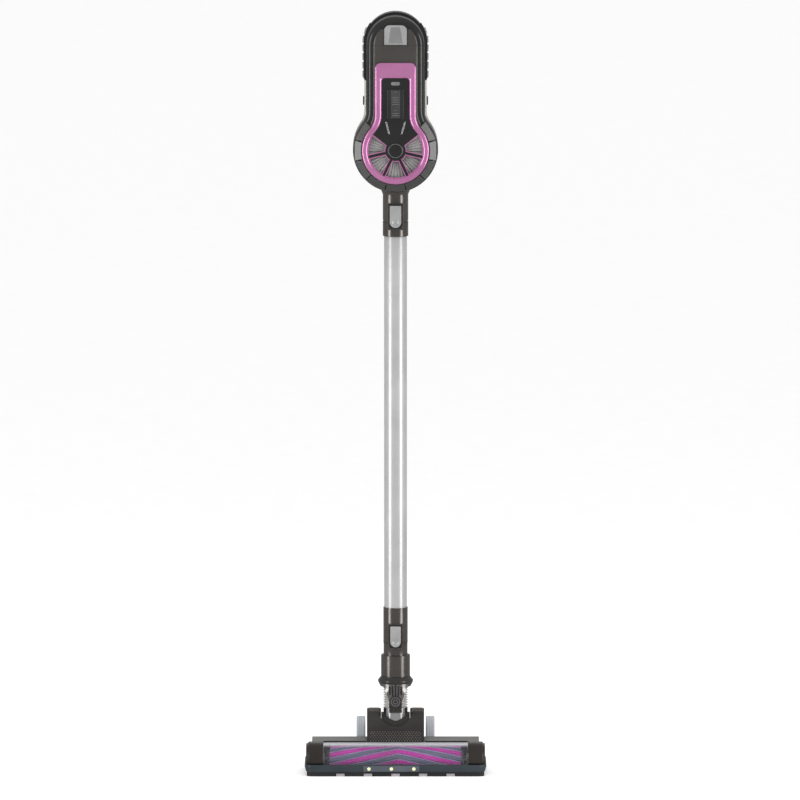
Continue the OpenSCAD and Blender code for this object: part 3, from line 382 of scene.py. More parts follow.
# ---------------------------------------------------------------- brush window, end caps and deck
# The window is a clear polycarbonate arc over the roller. A gunmetal cap closes each end of
# it, and the deck behind it covers the drive. All of them clip down onto the chassis.
def clear_finish(name, tint, rough, cover, edge_cover):
    """Clear plastic: see-through from the front, and turned opaque in its own tint at a glancing angle; with a
    pale tint this opacity is a painted reflection.
    """
    material = finish(name, moulded_grain, 300.0, tint, tint, rough, 0.02, IOR=1.49)
    tree = material.node_tree
    glance = tree.nodes.new("ShaderNodeLayerWeight")
    cloak = tree.nodes.new("ShaderNodeMapRange")
    cloak.inputs["From Min"].default_value = 0.35
    cloak.inputs["From Max"].default_value = 0.95
    cloak.inputs["To Min"].default_value = cover
    cloak.inputs["To Max"].default_value = edge_cover
    tree.links.new(glance.outputs["Facing"], cloak.inputs["Value"])
    tree.links.new(cloak.outputs["Result"], tree.nodes["Principled BSDF"].inputs["Alpha"])
    return material


window_low, window_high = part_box("brush_window")
window_r = brush_at.y - window_low.y
window_t = window_r - brush_r - 2.5 * MM
# The near-white tint, made opaque at glancing angles, is a painted reflection: the white band along the top of
# the window.
clear_plastic = clear_finish("clear_plastic", (0.88, 0.89, 0.93), (0.04, 0.07), 0.025, 0.9)
bm = bmesh.new()
foot_angle = math.asin((brush_at.z - window_low.z) / window_r)
back_angle = math.acos((window_high.y - brush_at.y) / window_r)
sweep = math.pi - back_angle + foot_angle
corners = []
for x, r in ((window_low.x, window_r), (window_high.x, window_r), (window_high.x, window_r - window_t),
             (window_low.x, window_r - window_t)):
    way = Vector((0, -math.cos(foot_angle), -math.sin(foot_angle)))
    corners.append(bm.verts.new(brush_at + Vector((x, 0, 0)) + way * r))
section = bm.faces.new(corners)
bmesh.ops.spin(
    bm, geom=[section], cent=brush_at, axis=(-1, 0, 0), dvec=(0, 0, 0), angle=sweep, steps=36,
    use_merge=False, use_duplicate=False
)
piece("brush_window_arc", bm, clear_plastic, "brush_window", round_off=0.5 * MM, sharp=50.0)


def flake_height(group, place, scale):
    """The tiny cells of a metal-flake lacquer."""
    cells = group.nodes.new("ShaderNodeTexVoronoi")
    group.links.new(place, cells.inputs["Vector"])
    group.links.new(scale, cells.inputs["Scale"])
    return cells.outputs["Distance"]


metal_flake = effect("metal_flake", 3200.0, flake_height)
gunmetal = finish(
    "gunmetal_gloss", metal_flake, 3200.0, (0.15, 0.138, 0.128), (0.18, 0.166, 0.155), (0.2, 0.25), 0.04,
    Metallic=0.9, Coat_Weight=0.4, Coat_Roughness=0.06
)
cap_brown = finish(
    "cap_brown_gloss", metal_flake, 3200.0, (0.045, 0.038, 0.033), (0.06, 0.051, 0.045), (0.24, 0.3), 0.04,
    Metallic=0.7, Coat_Weight=0.7, Coat_Roughness=0.05
)
deck_grey = finish(
    "deck_grey_satin", metal_flake, 2600.0, (0.19, 0.187, 0.178), (0.23, 0.227, 0.216), (0.4, 0.48), 0.05,
    Metallic=0.2
)
charcoal = finish(
    "charcoal_satin", moulded_grain, 1300.0, (0.024, 0.022, 0.021), (0.036, 0.033, 0.031), (0.34, 0.42),
    0.12,
    Coat_Weight=0.15, Coat_Roughness=0.25
)
piece("end_caps_pair", moulding("end_caps"), cap_brown, "end_caps", round_off=3.6 * MM, segments=6)
piece("rear_deck_cover", moulding("rear_deck"), deck_grey, "rear_deck", round_off=1.2 * MM)
deck_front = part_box("rear_deck")[0].y


def block(bm, middle, size):
    """Sets a box about a middle and gives back its corners."""
    placed = Matrix.Translation(middle) @ Matrix.Diagonal((*size, 1.0))
    return bmesh.ops.create_cube(bm, size=1.0, matrix=placed)["verts"]


# A black strip along the deck's front edge over the window: painted shade standing in for the dark gap between
# the deck and the window.
bm = bmesh.new()
for x0, x1 in ((-105.0, -42.5), (42.5, 105.0)):
    block(
        bm, ((x0 + x1) / 2 * MM, deck_front - 0.9 * MM, window_high.z - 0.7 * MM),
        ((x1 - x0) * MM, 2.4 * MM, 3.4 * MM)
    )
piece("window_seal", bm, black_satin, like="rear_deck", round_off=0.9 * MM)


# ---------------------------------------------------------------- middle housing
# The charcoal moulding that carries the neck between two rounded cheeks and holds the wheels.
# The front slope and the cheeks are knurled with small diamonds for grip; the rest is smooth.
housing_low, housing_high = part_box("centre_housing")
cheek_r = 27 * MM
pitch_z = housing_high.z - cheek_r


def cut_away(bm, tool):
    """Takes one closed shape out of another and gives back what is left."""
    made = []
    for shape in (bm, tool):
        bmesh.ops.recalc_face_normals(shape, faces=shape.faces)
        mesh = bpy.data.meshes.new("cutting")
        shape.to_mesh(mesh)
        shape.free()
        made.append(bpy.data.objects.new("cutting", mesh))
        scene.collection.objects.link(made[-1])
    cut = made[0].modifiers.new("cut", "BOOLEAN")
    cut.object = made[1]
    cut.operation = "DIFFERENCE"
    cut.solver = "EXACT"
    left = bmesh.new()
    left.from_object(made[0], bpy.context.evaluated_depsgraph_get())
    for helper in made:
        bpy.data.objects.remove(helper)
    return left


bm = bmesh.new()
lathe(
    bm, [(0, 0), (25 * MM, 0), (25 * MM, 30 * MM), (0, 30 * MM)], Vector((0, -36 * MM, pitch_z + 29 * MM)),
    (0, 1, 0), steps=72
)
bm = cut_away(moulding("centre_housing"), bm)
piece("centre_housing_shell", bm, charcoal, "centre_housing", round_off=0.9 * MM)


def diamonds(bm, at, rows, columns, width, length, height):
    """Low four-sided points set in staggered rows; at(u, v) gives the place and the way out."""
    for row in range(rows):
        for column in range(columns - row % 2):
            u = -width / 2 + (column + 0.5 + 0.5 * (row % 2)) * width / columns
            v = (row + 0.5) * length / rows
            spot, out, up = at(u, v)
            side = up.cross(out)
            turned = Matrix((side, up, out)).transposed().to_4x4()
            bmesh.ops.create_cone(
                bm, cap_ends=True, segments=4, radius1=0.43 * width / columns,
                radius2=0.16 * width / columns,
                depth=height, matrix=Matrix.Translation(spot) @ turned
            )


slope_foot = Vector((0, housing_low.y + 0.6 * MM, 44.4 * MM))
slope_head = Vector((0, -cheek_r + 2.2 * MM, pitch_z - 0.6 * MM))
slope_up = (slope_head - slope_foot).normalized()
slope_out = Vector((1, 0, 0)).cross(slope_up)


def on_slope(u, v):
    """A place on the front slope of the housing."""
    return slope_foot + Vector((u, 0, 0)) + slope_up * v, slope_out, slope_up


def on_cheek(centre_x):
    """Places round the drum of a cheek."""
    def place(u, v):
        angle = math.radians(118.0) - v / cheek_r
        out = Vector((0, math.cos(math.pi - angle), math.sin(angle)))
        up = Vector((0, -out.z, out.y)) * -1.0
        return Vector((centre_x + u, 0, pitch_z)) + out * cheek_r, out, up
    return place


knurl_width = housing_high.x * 2 - 7 * MM
knurl_brown = finish(
    "knurl_brown", metal_flake, 2600.0, (0.2, 0.18, 0.165), (0.25, 0.225, 0.205), (0.3, 0.38), 0.05,
    Metallic=0.3
)
bm = bmesh.new()
diamonds(bm, on_slope, 7, 20, knurl_width, (slope_head - slope_foot).length, 1.7 * MM)
saddle_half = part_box("pitch_barrel")[1].x - 8.3 * MM
cheek_width = housing_high.x - saddle_half - 3 * MM
for side in (-1, 1):
    diamonds(bm, on_cheek(side * (housing_high.x + saddle_half) / 2), 9, 5, cheek_width, 26 * MM, 1.7 * MM)
piece("housing_diamonds", bm, knurl_brown, like="centre_housing", sharp=20.0)


# ---------------------------------------------------------------- wheels
# Two light grey wheels behind the head, each with a ribbed face and a thin softer tread,
# turning on plain steel stub axles that are pressed into the arms of the housing.
wheel_grey = finish(
    "wheel_grey", moulded_grain, 1400.0, (0.46, 0.485, 0.52), (0.54, 0.565, 0.6), (0.4, 0.5), 0.1
)
steel = finish(
    "plain_steel", moulded_grain, 700.0, (0.42, 0.42, 0.44), (0.55, 0.55, 0.57), (0.25, 0.35), 0.05,
    Metallic=1.0
)
piece("wheel_axle_stubs", moulding("wheel_axles"), steel, "wheel_axles", round_off=0.3 * MM)
for node, side in (("wheel_left", -1), ("wheel_right", 1)):
    low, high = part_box(node)
    r = (high.z - low.z) / 2
    width = high.x - low.x
    inner = low.x if side > 0 else high.x
    hub = Vector((inner, (low.y + high.y) / 2, (low.z + high.z) / 2))
    bm = bmesh.new()
    lathe(
        bm, [
            (3.1 * MM, 0), (8 * MM, 0), (8 * MM, 3 * MM), (r - 8 * MM, 3 * MM), (r - 8 * MM, 0),
            (r - 1.4 * MM, 0.1 * MM),
            (r - 0.4 * MM, 0.5 * MM), (r, 1.5 * MM), (r, width * 0.3), (r - 0.5 * MM, width * 0.32),
            (r - 0.5 * MM, width * 0.38), (r, width * 0.4), (r, width * 0.6), (r - 0.5 * MM, width * 0.62),
            (r - 0.5 * MM, width * 0.68), (r, width * 0.7), (r, width - 1.5 * MM),
            (r - 0.4 * MM, width - 0.5 * MM),
            (r - 1.4 * MM, width), (r - 7 * MM, width), (r - 8 * MM, width - 0.6 * MM),
            (r - 9 * MM, width - 2 * MM),
            (12 * MM, width - 2.8 * MM), (11 * MM, width - 2.8 * MM), (10 * MM, width - 1.6 * MM),
            (6 * MM, width - 1.6 * MM),
            (5.4 * MM, width - 2.8 * MM), (3.1 * MM, width - 2.8 * MM), (3.1 * MM, 0)
        ], hub, (side, 0, 0), steps=96
    )
    for k in range(6):
        turned = Matrix.Rotation(math.radians(60.0 * k), 4, "X")
        placed = Matrix.Translation(hub + Vector((side * (width - 2.4 * MM), 0, 0))) @ turned
        placed = placed @ Matrix.Translation((0, 0, (r + 3 * MM) / 2))
        bmesh.ops.create_cube(
            bm, size=1.0, matrix=placed @ Matrix.Diagonal((2.2 * MM, 3.2 * MM, r - 19 * MM, 1.0))
        )
    piece(node + "_moulding", bm, wheel_grey, node, round_off=0.25 * MM, segments=2)


# ---------------------------------------------------------------- tilting elbow and its hose
# A glossy grey elbow rocks between the cheeks of the housing on two stub trunnions. Its top
# carries two lugs for the swivel pins, and a pale ribbed hose runs up inside them.
glossy_grey = finish(
    "glossy_grey", metal_flake, 3000.0, (0.36, 0.355, 0.36), (0.44, 0.435, 0.44), (0.12, 0.18), 0.04,
    Metallic=0.55, Coat_Weight=0.8, Coat_Roughness=0.05
)
swivel_low, swivel_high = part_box("swivel_pins")
swivel_z = (swivel_low.z + swivel_high.z) / 2
dark_lip = finish(
    "dark_lip", moulded_grain, 1300.0, (0.022, 0.021, 0.02), (0.034, 0.032, 0.03), (0.25, 0.35), 0.08,
    Coat_Weight=0.3
)
piece("elbow_moulding", moulding("pitch_barrel"), dark_lip, "pitch_barrel", round_off=1.2 * MM, segments=4)


def strap(bm, stations, thick, steps=14):
    """A curved plate standing round the neck: each station is its height, radius and half angle."""
    loops = []
    for z, r, half in stations:
        turns = [math.radians(half * (2.0 * i / steps - 1.0)) for i in range(steps + 1)]
        outer = [Vector((r * math.sin(a), -r * math.cos(a), z)) for a in turns]
        inner = [Vector(((r - thick) * math.sin(a), -(r - thick) * math.cos(a), z)) for a in reversed(turns)]
        loops.append(outer + inner)
    skin(bm, loops)


bm = bmesh.new()
strap(bm, [(pitch_z + up * MM, r * MM, half) for up, r, half in (
    (11.0, 18.4, 56.0), (14.0, 18.3, 54.0), (20.0, 18.2, 51.0), (26.0, 18.1, 49.0), (28.6, 18.0, 48.0),
    (29.6, 17.6, 47.0)
)], 2.2 * MM)
strap(bm, [(pitch_z + up * MM, r * MM, half) for up, r, half in (
    (1.0, 21.4, 62.0), (3.0, 21.3, 63.0), (5.0, 20.9, 64.0), (7.0, 20.3, 65.0), (8.6, 19.5, 66.0),
    (9.6, 18.6, 66.0)
)], 2.4 * MM)
piece("elbow_front", bm, glossy_grey, like="pitch_barrel", round_off=0.5 * MM, sharp=40.0)

hose_pale = finish(
    "hose_pale", moulded_grain, 900.0, (0.5, 0.49, 0.47), (0.62, 0.61, 0.59), (0.35, 0.5), 0.2, Metallic=0.3
)
hose_low, hose_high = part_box("neck_hose")
bm = bmesh.new()
rib_pitch = 3.6 * MM
rib_count = int((hose_high.z - hose_low.z) / rib_pitch)
profile = [(10.5 * MM, 0.0)]
for i in range(rib_count):
    foot = i * rib_pitch
    profile += [(12.2 * MM, foot + 0.1 * MM), (13.2 * MM, foot + 0.7 * MM), (13.2 * MM, foot + 1.5 * MM),
                (12.2 * MM, foot + 2.1 * MM), (10.9 * MM, foot + 2.5 * MM), (10.9 * MM, foot + 3.3 * MM)]
profile += [(9.5 * MM, rib_count * rib_pitch), (9.5 * MM, 0.0), (10.5 * MM, 0.0)]
lathe(bm, profile, Vector((0, 0, hose_low.z)), (0, 0, 1), steps=48)
bmesh.ops.scale(bm, vec=(1.36, 0.92, 1.0), verts=bm.verts)
bmesh.ops.recalc_face_normals(bm, faces=bm.faces)
mesh = bpy.data.meshes.new("neck_hose_ribbed")
bm.to_mesh(mesh)
bm.free()
mesh.materials.append(hose_pale)
mesh.shade_smooth()
hose = bpy.data.objects.new("neck_hose_ribbed", mesh)
scene.collection.objects.link(hose)
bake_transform(hose)
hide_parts("neck_hose")


# ---------------------------------------------------------------- swivel fork and collar
# One gunmetal moulding: a collar with a flared lip, and under it a fork that narrows to the
# two pivots, painted a lighter gunmetal as painted light. Five cooling slots are cut in each arm. Ringed black
# discs cap the pins.
# A lighter copy of the gunmetal for the fork: painted light, where the fork shows bright.
gunmetal_painted_light = finish(
    "gunmetal_painted_light", metal_flake, 3000.0, (0.24, 0.228, 0.22), (0.3, 0.288, 0.28), (0.16, 0.22), 0.04,
    Metallic=0.85, Coat_Weight=0.6, Coat_Roughness=0.05
)
black_gloss = finish(
    "black_gloss", moulded_grain, 500.0, (0.007, 0.007, 0.0075), (0.012, 0.012, 0.0125), (0.1, 0.16), 0.02,
    Coat_Weight=0.6, Coat_Roughness=0.04
)
shoulder_z = swivel_z + 20 * MM
shoulder_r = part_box("swivel_yoke")[1].x
collar_r = 21.2 * MM
collar_foot = shoulder_z + 15 * MM
collar_top = swivel_z + 66.5 * MM
bm = bmesh.new()
lathe(
    bm, [
        (15.2 * MM, shoulder_z + 14 * MM), (collar_r - 0.6 * MM, shoulder_z + 14 * MM),
        (collar_r - 0.6 * MM, collar_foot),
        (collar_r, collar_foot + 0.6 * MM), (collar_r, collar_top - 0.7 * MM),
        (collar_r - 0.7 * MM, collar_top),
        (15.2 * MM, collar_top), (15.2 * MM, shoulder_z + 14 * MM)
    ], Vector((0, 0, 0)), (0, 0, 1), steps=96
)
piece("collar_sleeve", bm, gunmetal, like="swivel_yoke")
bm = bmesh.new()
lathe(
    bm, [
        (15.6 * MM, shoulder_z), (shoulder_r - 4.4 * MM, shoulder_z),
        (shoulder_r - 3.2 * MM, shoulder_z + 0.6 * MM),
        (shoulder_r - 0.3 * MM, shoulder_z + 6.6 * MM), (shoulder_r, shoulder_z + 7.6 * MM),
        (shoulder_r, shoulder_z + 9 * MM), (shoulder_r - 0.8 * MM, shoulder_z + 10.4 * MM),
        (collar_r, collar_foot - 0.4 * MM), (15.6 * MM, collar_foot - 0.4 * MM), (15.6 * MM, shoulder_z)
    ], Vector((0, 0, 0)), (0, 0, 1), steps=96
)
piece("flared_lip", bm, dark_lip, "swivel_yoke")

arm_out = 25.4 * MM
arm_t = 5 * MM
pivot_r = 9.3 * MM


def arm_loop(side, z, half, bow, steps=12):
    """Section of a fork arm: a curved strip, as wide as given, bowed round the wand."""
    across = [half * (2.0 * i / steps - 1.0) for i in range(steps + 1)]
    outer = [Vector((x, side * (arm_out - x * x * bow), z)) for x in across]
    inner = [Vector((x, side * (arm_out - arm_t - x * x * bow), z)) for x in reversed(across)]
    return outer + inner


for side, name in ((-1, "fork_arm_front"), (1, "fork_arm_back")):
    loops = []
    for i in range(9):
        angle = math.radians(-84 + 84.0 * i / 8)
        loops.append(arm_loop(side, swivel_z + pivot_r * math.sin(angle), pivot_r * math.cos(angle), 0.0))
    for i in range(1, 9):
        t = i / 8
        rise = (shoulder_z + 5.2 * MM - swivel_z) * t
        bow = 24.0 * min(1.0, max(0.0, t - 0.25) / 0.4)
        loops.append(arm_loop(side, swivel_z + rise, pivot_r + 10.1 * MM * t ** 1.1, bow))
    bm = bmesh.new()
    skin(bm, loops)
    piece(name, bm, gunmetal_painted_light, like="swivel_yoke", round_off=0.6 * MM)
    bm = bmesh.new()
    for i in range(-2, 3):
        x = i * 4.0 * MM
        foot = swivel_z + (7.0 + 1.2 * abs(i)) * MM
        head = shoulder_z + (5.0 - 1.5 * abs(i)) * MM
        cooling_slot = block(
            bm, (x, side * (arm_out - x * x * 14.0 - 0.5 * MM), (foot + head) / 2),
            (2.5 * MM, 2.4 * MM, head - foot)
        )
        lean = Matrix.Rotation(math.radians(2.2 * i), 3, "Y")
        bmesh.ops.rotate(bm, cent=(x, side * arm_out, foot), matrix=lean, verts=cooling_slot)
    piece(name + "_slots", bm, black_satin, like="swivel_yoke", round_off=0.9 * MM)

bm = bmesh.new()
for side in (-1, 1):
    lathe(
        bm, [
            (0, 1.9 * MM), (2.2 * MM, 1.9 * MM), (2.6 * MM, 1.5 * MM), (3.4 * MM, 1.5 * MM),
            (3.8 * MM, 1.9 * MM),
            (5.4 * MM, 1.9 * MM), (5.8 * MM, 1.4 * MM), (6.6 * MM, 1.4 * MM), (7.0 * MM, 1.9 * MM),
            (8.4 * MM, 1.9 * MM),
            (9.0 * MM, 1.3 * MM), (9.0 * MM, 0.1 * MM), (0, 0.1 * MM)
        ], Vector((0, side * arm_out, swivel_z)), (0, side, 0), steps=48
    )
piece("pivot_discs", bm, dark_lip, like="swivel_pins", sharp=30.0)
frame["nodes"]["swivel_pins"].data.materials[0] = steel


# ---------------------------------------------------------------- wand
# A satin aluminium tube with a turned-in lip at its top. A gunmetal sleeve is shrunk on its
# foot, takes the neck's spigot and holds a rocking silver catch; a plug stands in its top.
def drawn_height(group, place, scale):
    """The lines that drawing leaves along a metal tube."""
    stretch = group.nodes.new("ShaderNodeMapping")
    stretch.inputs["Scale"].default_value = (1.0, 1.0, 0.12)
    group.links.new(place, stretch.inputs["Vector"])
    noise = group.nodes.new("ShaderNodeTexNoise")
    noise.inputs["Detail"].default_value = 6.0
    group.links.new(stretch.outputs["Vector"], noise.inputs["Vector"])
    group.links.new(scale, noise.inputs["Scale"])
    return noise.outputs["Fac"]


drawn_metal = effect("drawn_metal", 1800.0, drawn_height)
aluminium = finish(
    "satin_aluminium", drawn_metal, 1800.0, (0.58, 0.58, 0.585), (0.66, 0.66, 0.665), (0.28, 0.34), 0.2,
    Metallic=0.5
)
tube_low, tube_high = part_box("wand_tube")
tube_r = tube_high.x
bm = bmesh.new()
lathe(
    bm, [
        (tube_r - 1.3 * MM, tube_low.z), (tube_r, tube_low.z), (tube_r, tube_high.z - 0.8 * MM),
        (tube_r - 0.5 * MM, tube_high.z - 0.1 * MM), (tube_r - 1.3 * MM, tube_high.z),
        (tube_r - 1.3 * MM, tube_low.z)
    ], Vector((0, 0, 0)), (0, 0, 1), steps=96
)
piece("wand_tube_drawn", bm, aluminium, "wand_tube")
piece(
    "wand_sleeve_moulding", moulding("wand_sleeve"), gunmetal, "wand_sleeve", round_off=0.8 * MM, sharp=30.0
)


def groove(name, node, height, radius):
    """The fine dark line where two halves of a sleeve meet."""
    bm = bmesh.new()
    inner, outer = radius - 0.4 * MM, radius + 0.12 * MM
    lathe(
        bm, [(inner, 0), (outer, 0), (outer, 0.8 * MM), (inner, 0.8 * MM), (inner, 0)],
        Vector((0, 0, height)), (0, 0, 1), steps=96
    )
    piece(name, bm, black_satin, like=node)


groove("wand_sleeve_line", "wand_sleeve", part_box("wand_button")[0].z + 4.6 * MM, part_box("wand_sleeve")[1].x)

catch_silver = finish(
    "catch_silver", metal_flake, 2600.0, (0.36, 0.36, 0.365), (0.46, 0.46, 0.465), (0.25, 0.33), 0.12,
    Metallic=0.35
)


def catch(name, node, surround):
    """The rocking silver catch with its thumb dimple, and the black well round it."""
    piece(name, moulding(node), catch_silver, node, round_off=0.9 * MM, sharp=40.0)
    low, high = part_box(node)
    half = (high.x - low.x) / 2 - 1.9 * MM
    centre_z = (low.z + high.z) / 2
    tall = (high.z - low.z) / 2
    bm = bmesh.new()
    foot = centre_z - tall + half
    turns = [math.radians(a) for a in range(180, 361, 15)]
    around = [(half * math.cos(a), foot + half * math.sin(a)) for a in turns]
    around += [(half, centre_z + tall), (-half, centre_z + tall)]
    loops = []
    for grow, back in ((1.12, 3.6), (1.12, 0.35), (1.26, 0.35), (1.26, 3.6)):
        stretch = 1 + (grow - 1) * half / tall
        loops.append([
            Vector((x * grow, low.y + back * MM, centre_z + (z - centre_z) * stretch)) for x, z in around
        ])
    skin(bm, loops + loops[:1], capped=False)
    piece(name + "_well", bm, black_satin, like=surround, round_off=0.25 * MM)


def coil(name, node, turns=5, wire=0.45 * MM):
    """The spring behind a catch, which shortens as the catch is pressed."""
    low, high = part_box(node)
    middle = (low + high) / 2
    r = (high.x - low.x) / 2 - wire
    bm = bmesh.new()
    loops = []
    for i in range(turns * 16 + 1):
        way = Vector((math.cos(math.tau * i / 16), 0, math.sin(math.tau * i / 16)))
        spot = Vector((middle.x, low.y + wire + (high.y - low.y - 2 * wire) * i / (turns * 16), middle.z))
        around = [math.tau * k / 8 for k in range(8)]
        loops.append([
            spot + way * (r + wire * math.cos(a)) + Vector((0, wire * math.sin(a), 0)) for a in around
        ])
    skin(bm, loops)
    piece(name, bm, steel, node, sharp=60.0)
    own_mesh(bpy.data.objects[name])


catch("wand_catch_rocker", "wand_button", "wand_sleeve")
coil("wand_catch_coil", "wand_spring")


# ---------------------------------------------------------------- neck of the handset
# The same gunmetal sleeve and silver catch again, wider. The sleeve is moulded in one with a
# cone that spreads to the pod, and it takes the plug at the top of the wand.
piece(
    "neck_sleeve_moulding", moulding("neck_sleeve"), gunmetal, "neck_sleeve", round_off=0.8 * MM, sharp=30.0
)
catch("neck_catch_rocker", "neck_button", "neck_sleeve")
coil("neck_catch_coil", "neck_spring")
groove(
    "neck_sleeve_line", "neck_sleeve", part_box("neck_button")[0].z + 6.0 * MM,
    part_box("wand_tube")[1].x + 2.0 * MM
)


# ---------------------------------------------------------------- front shell of the handset
# A near-black shell with a deep round edge, keyhole-shaped from the front. A gunmetal face
# plate is let into its front, with a fine groove all round where the two meet.
def arc(cx, cz, r, start, end, steps):
    """Points along a round stretch of an outline."""
    turns = [math.radians(start + (end - start) * i / steps) for i in range(steps + 1)]
    return [(cx + r * math.cos(a), cz + r * math.sin(a)) for a in turns]


def keyhole(pod, side, top, corner, flare):
    """Outline from the front: a round pod, a hollow curve up to straight sides, and round top corners."""
    rise = math.sqrt((pod + flare) ** 2 - (side + flare) ** 2)
    meet = math.degrees(math.atan2(rise, side + flare))
    half = arc(0, 0, pod, -90, meet, 28) + arc(side + flare, rise, flare, meet + 176, 180, 7)
    half += arc(side - corner, top - corner, corner, 0, 90 if corner < side else 86, 14)
    if corner >= side:
        half.append((0.0, top))
        return half + [(-x, z) for x, z in reversed(half[1:-1])]
    return half + [(-x, z) for x, z in reversed(half[1:])]


def on_pod(points, y):
    """Sets an outline about the pod's middle, at a depth."""
    return [Vector((x, y, pod_z + z)) for x, z in points]


def slice_off(bm, height, above, fill=True):
    """Cuts the shape at a height and keeps what lies above or below it."""
    cut = bmesh.ops.bisect_plane(
        bm, geom=bm.verts[:] + bm.edges[:] + bm.faces[:], plane_co=(0, 0, height), plane_no=(0, 0, 1),
        clear_inner=above, clear_outer=not above
    )
    edges = [e for e in cut["geom_cut"] if isinstance(e, bmesh.types.BMEdge)]
    if edges and fill:
        bmesh.ops.edgeloop_fill(bm, edges=edges)


shell_low, shell_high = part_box("front_shell")
trim_low, trim_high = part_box("trim_frame")
panel_low, panel_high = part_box("grille_panel")
pod_r = shell_high.x
pod_z = shell_low.z + pod_r
seam_z = shell_high.z
spine_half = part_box("battery_case")[1].x
front_y = trim_low.y + 6 * MM
split_y = shell_high.y
rear_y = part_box("rear_shell")[1].y
front_rise = seam_z - pod_z + spine_half
flare = 30 * MM
edge_round = 8.8 * MM
face_y = front_y + 2.0 * MM


def front_loop(inset, y):
    """The outline of the front shell, drawn in by an inset."""
    side = spine_half - inset
    return on_pod(keyhole(pod_r - inset, side, front_rise - inset, side, flare + inset), y)


def front_solid():
    """The whole front body with its round front edge, before it is parted at the battery seam."""
    loops = [front_loop(0.0, split_y)]
    for i in range(8):
        turn = math.radians(90.0 * i / 7)
        loops.append(
            front_loop(edge_round * (1 - math.cos(turn)), face_y + edge_round * (1 - math.sin(turn)))
        )
    bm = bmesh.new()
    skin(bm, loops)
    return bm


def face_plate(rise):
    """The plate let into the front, gently crowned towards its rim."""
    loops = [front_loop(edge_round + 0.9 * MM, face_y + 0.5 * MM)]
    for inset, drop in ((0.9, 2.0), (1.3, 1.3), (2.2, 0.8), (3.4, 0.4), (5.0, 0.12), (7.0, 0.0)):
        loops.append(front_loop(edge_round + inset * MM, front_y - rise + drop * MM))
    bm = bmesh.new()
    skin(bm, loops)
    return bm


near_black = finish(
    "near_black_shell", moulded_grain, 1200.0, (0.012, 0.012, 0.012), (0.02, 0.02, 0.019), (0.22, 0.3), 0.06,
    Coat_Weight=0.4, Coat_Roughness=0.12
)
gunmetal_face = finish(
    "gunmetal_face", metal_flake, 3200.0, (0.085, 0.079, 0.073), (0.105, 0.098, 0.09), (0.26, 0.32), 0.05,
    Metallic=0.6, Coat_Weight=0.4, Coat_Roughness=0.1
)
exhaust_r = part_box("exhaust_filter")[1].x + 0.3 * MM


def exhaust_bore():
    """The round hole that the exhaust filter stands in."""
    bm = bmesh.new()
    lathe(
        bm, [(0, 0), (exhaust_r, 0), (exhaust_r, 30 * MM), (0, 30 * MM)],
        Vector((0, front_y - 9 * MM, pod_z)), (0, 1, 0), steps=96
    )
    return bm


bm = front_solid()
slice_off(bm, seam_z, above=False)
hollow = bmesh.new()
wall = 2.5 * MM
skin(hollow, [
    on_pod(keyhole(pod_r - wall, spine_half - wall, front_rise, 6 * MM, flare + wall), y)
    for y in (face_y + wall, split_y + 1 * MM)
])
bm = cut_away(cut_away(bm, hollow), exhaust_bore())
piece("front_shell_body", bm, near_black, "front_shell", sharp=50.0)
bm = face_plate(0.6 * MM)
slice_off(bm, seam_z, above=False)
bm = cut_away(bm, exhaust_bore())
piece("front_face_plate", bm, gunmetal_face, like="front_shell", sharp=60.0)


# ---------------------------------------------------------------- bezel round the pod
# Nine flat dark facets stand round the pink ring, with a narrow notch between each two.
# They are glossy plastic with a fine metal flake, moulded on the front shell.
facet_grey = finish(
    "facet_grey", metal_flake, 2800.0, (0.055, 0.056, 0.054), (0.075, 0.076, 0.073), (0.2, 0.28), 0.04,
    Metallic=0.4, Coat_Weight=0.7, Coat_Roughness=0.06
)
ring_r = trim_high.x
facet_in = ring_r + 0.5 * MM
facet_out = pod_r - 2.6 * MM
facet_half = 14.3
bm = bmesh.new()
for k in range(-4, 5):
    centre = math.radians(-90.0 + 30.0 * k)
    out = Vector((math.cos(centre), 0, math.sin(centre)))
    along = Vector((-math.sin(centre), 0, math.cos(centre)))
    rim = []
    for i in range(-3, 4):
        turn = math.radians(facet_half * i / 3)
        rim.append((facet_in * math.cos(turn), facet_in * math.sin(turn)))
    reach = facet_out * math.cos(math.radians(6.0))
    far = math.tan(math.radians(facet_half))
    rim += [(reach, reach * far), (facet_out + 0.4 * MM, reach * far * 0.45),
            (facet_out + 0.4 * MM, -reach * far * 0.45),
            (reach, -reach * far)]
    top = []
    for v, u in rim:
        sink = (v - facet_in) * 0.5
        top.append(Vector((0, front_y - 4.6 * MM + sink, pod_z)) + out * v + along * u)
    face = bm.faces.new([bm.verts.new(p) for p in top])
    grown = bmesh.ops.extrude_face_region(bm, geom=[face])
    base = [g for g in grown["geom"] if isinstance(g, bmesh.types.BMVert)]
    for vert in base:
        vert.co.y = front_y + 4.5 * MM
piece("pod_facets", bm, facet_grey, like="front_shell", round_off=0.7 * MM, sharp=20.0)


# ---------------------------------------------------------------- pink frame
# The lacquered pink surround, one moulding from the pod's ring up round the control panel.
# Its section is crowned, steep on the outside and easy on the inside.
def between(one, two, share):
    """An outline that lies a share of the way from one to another."""
    return [(a[0] + (b[0] - a[0]) * share, a[1] + (b[1] - a[1]) * share) for a, b in zip(one, two)]


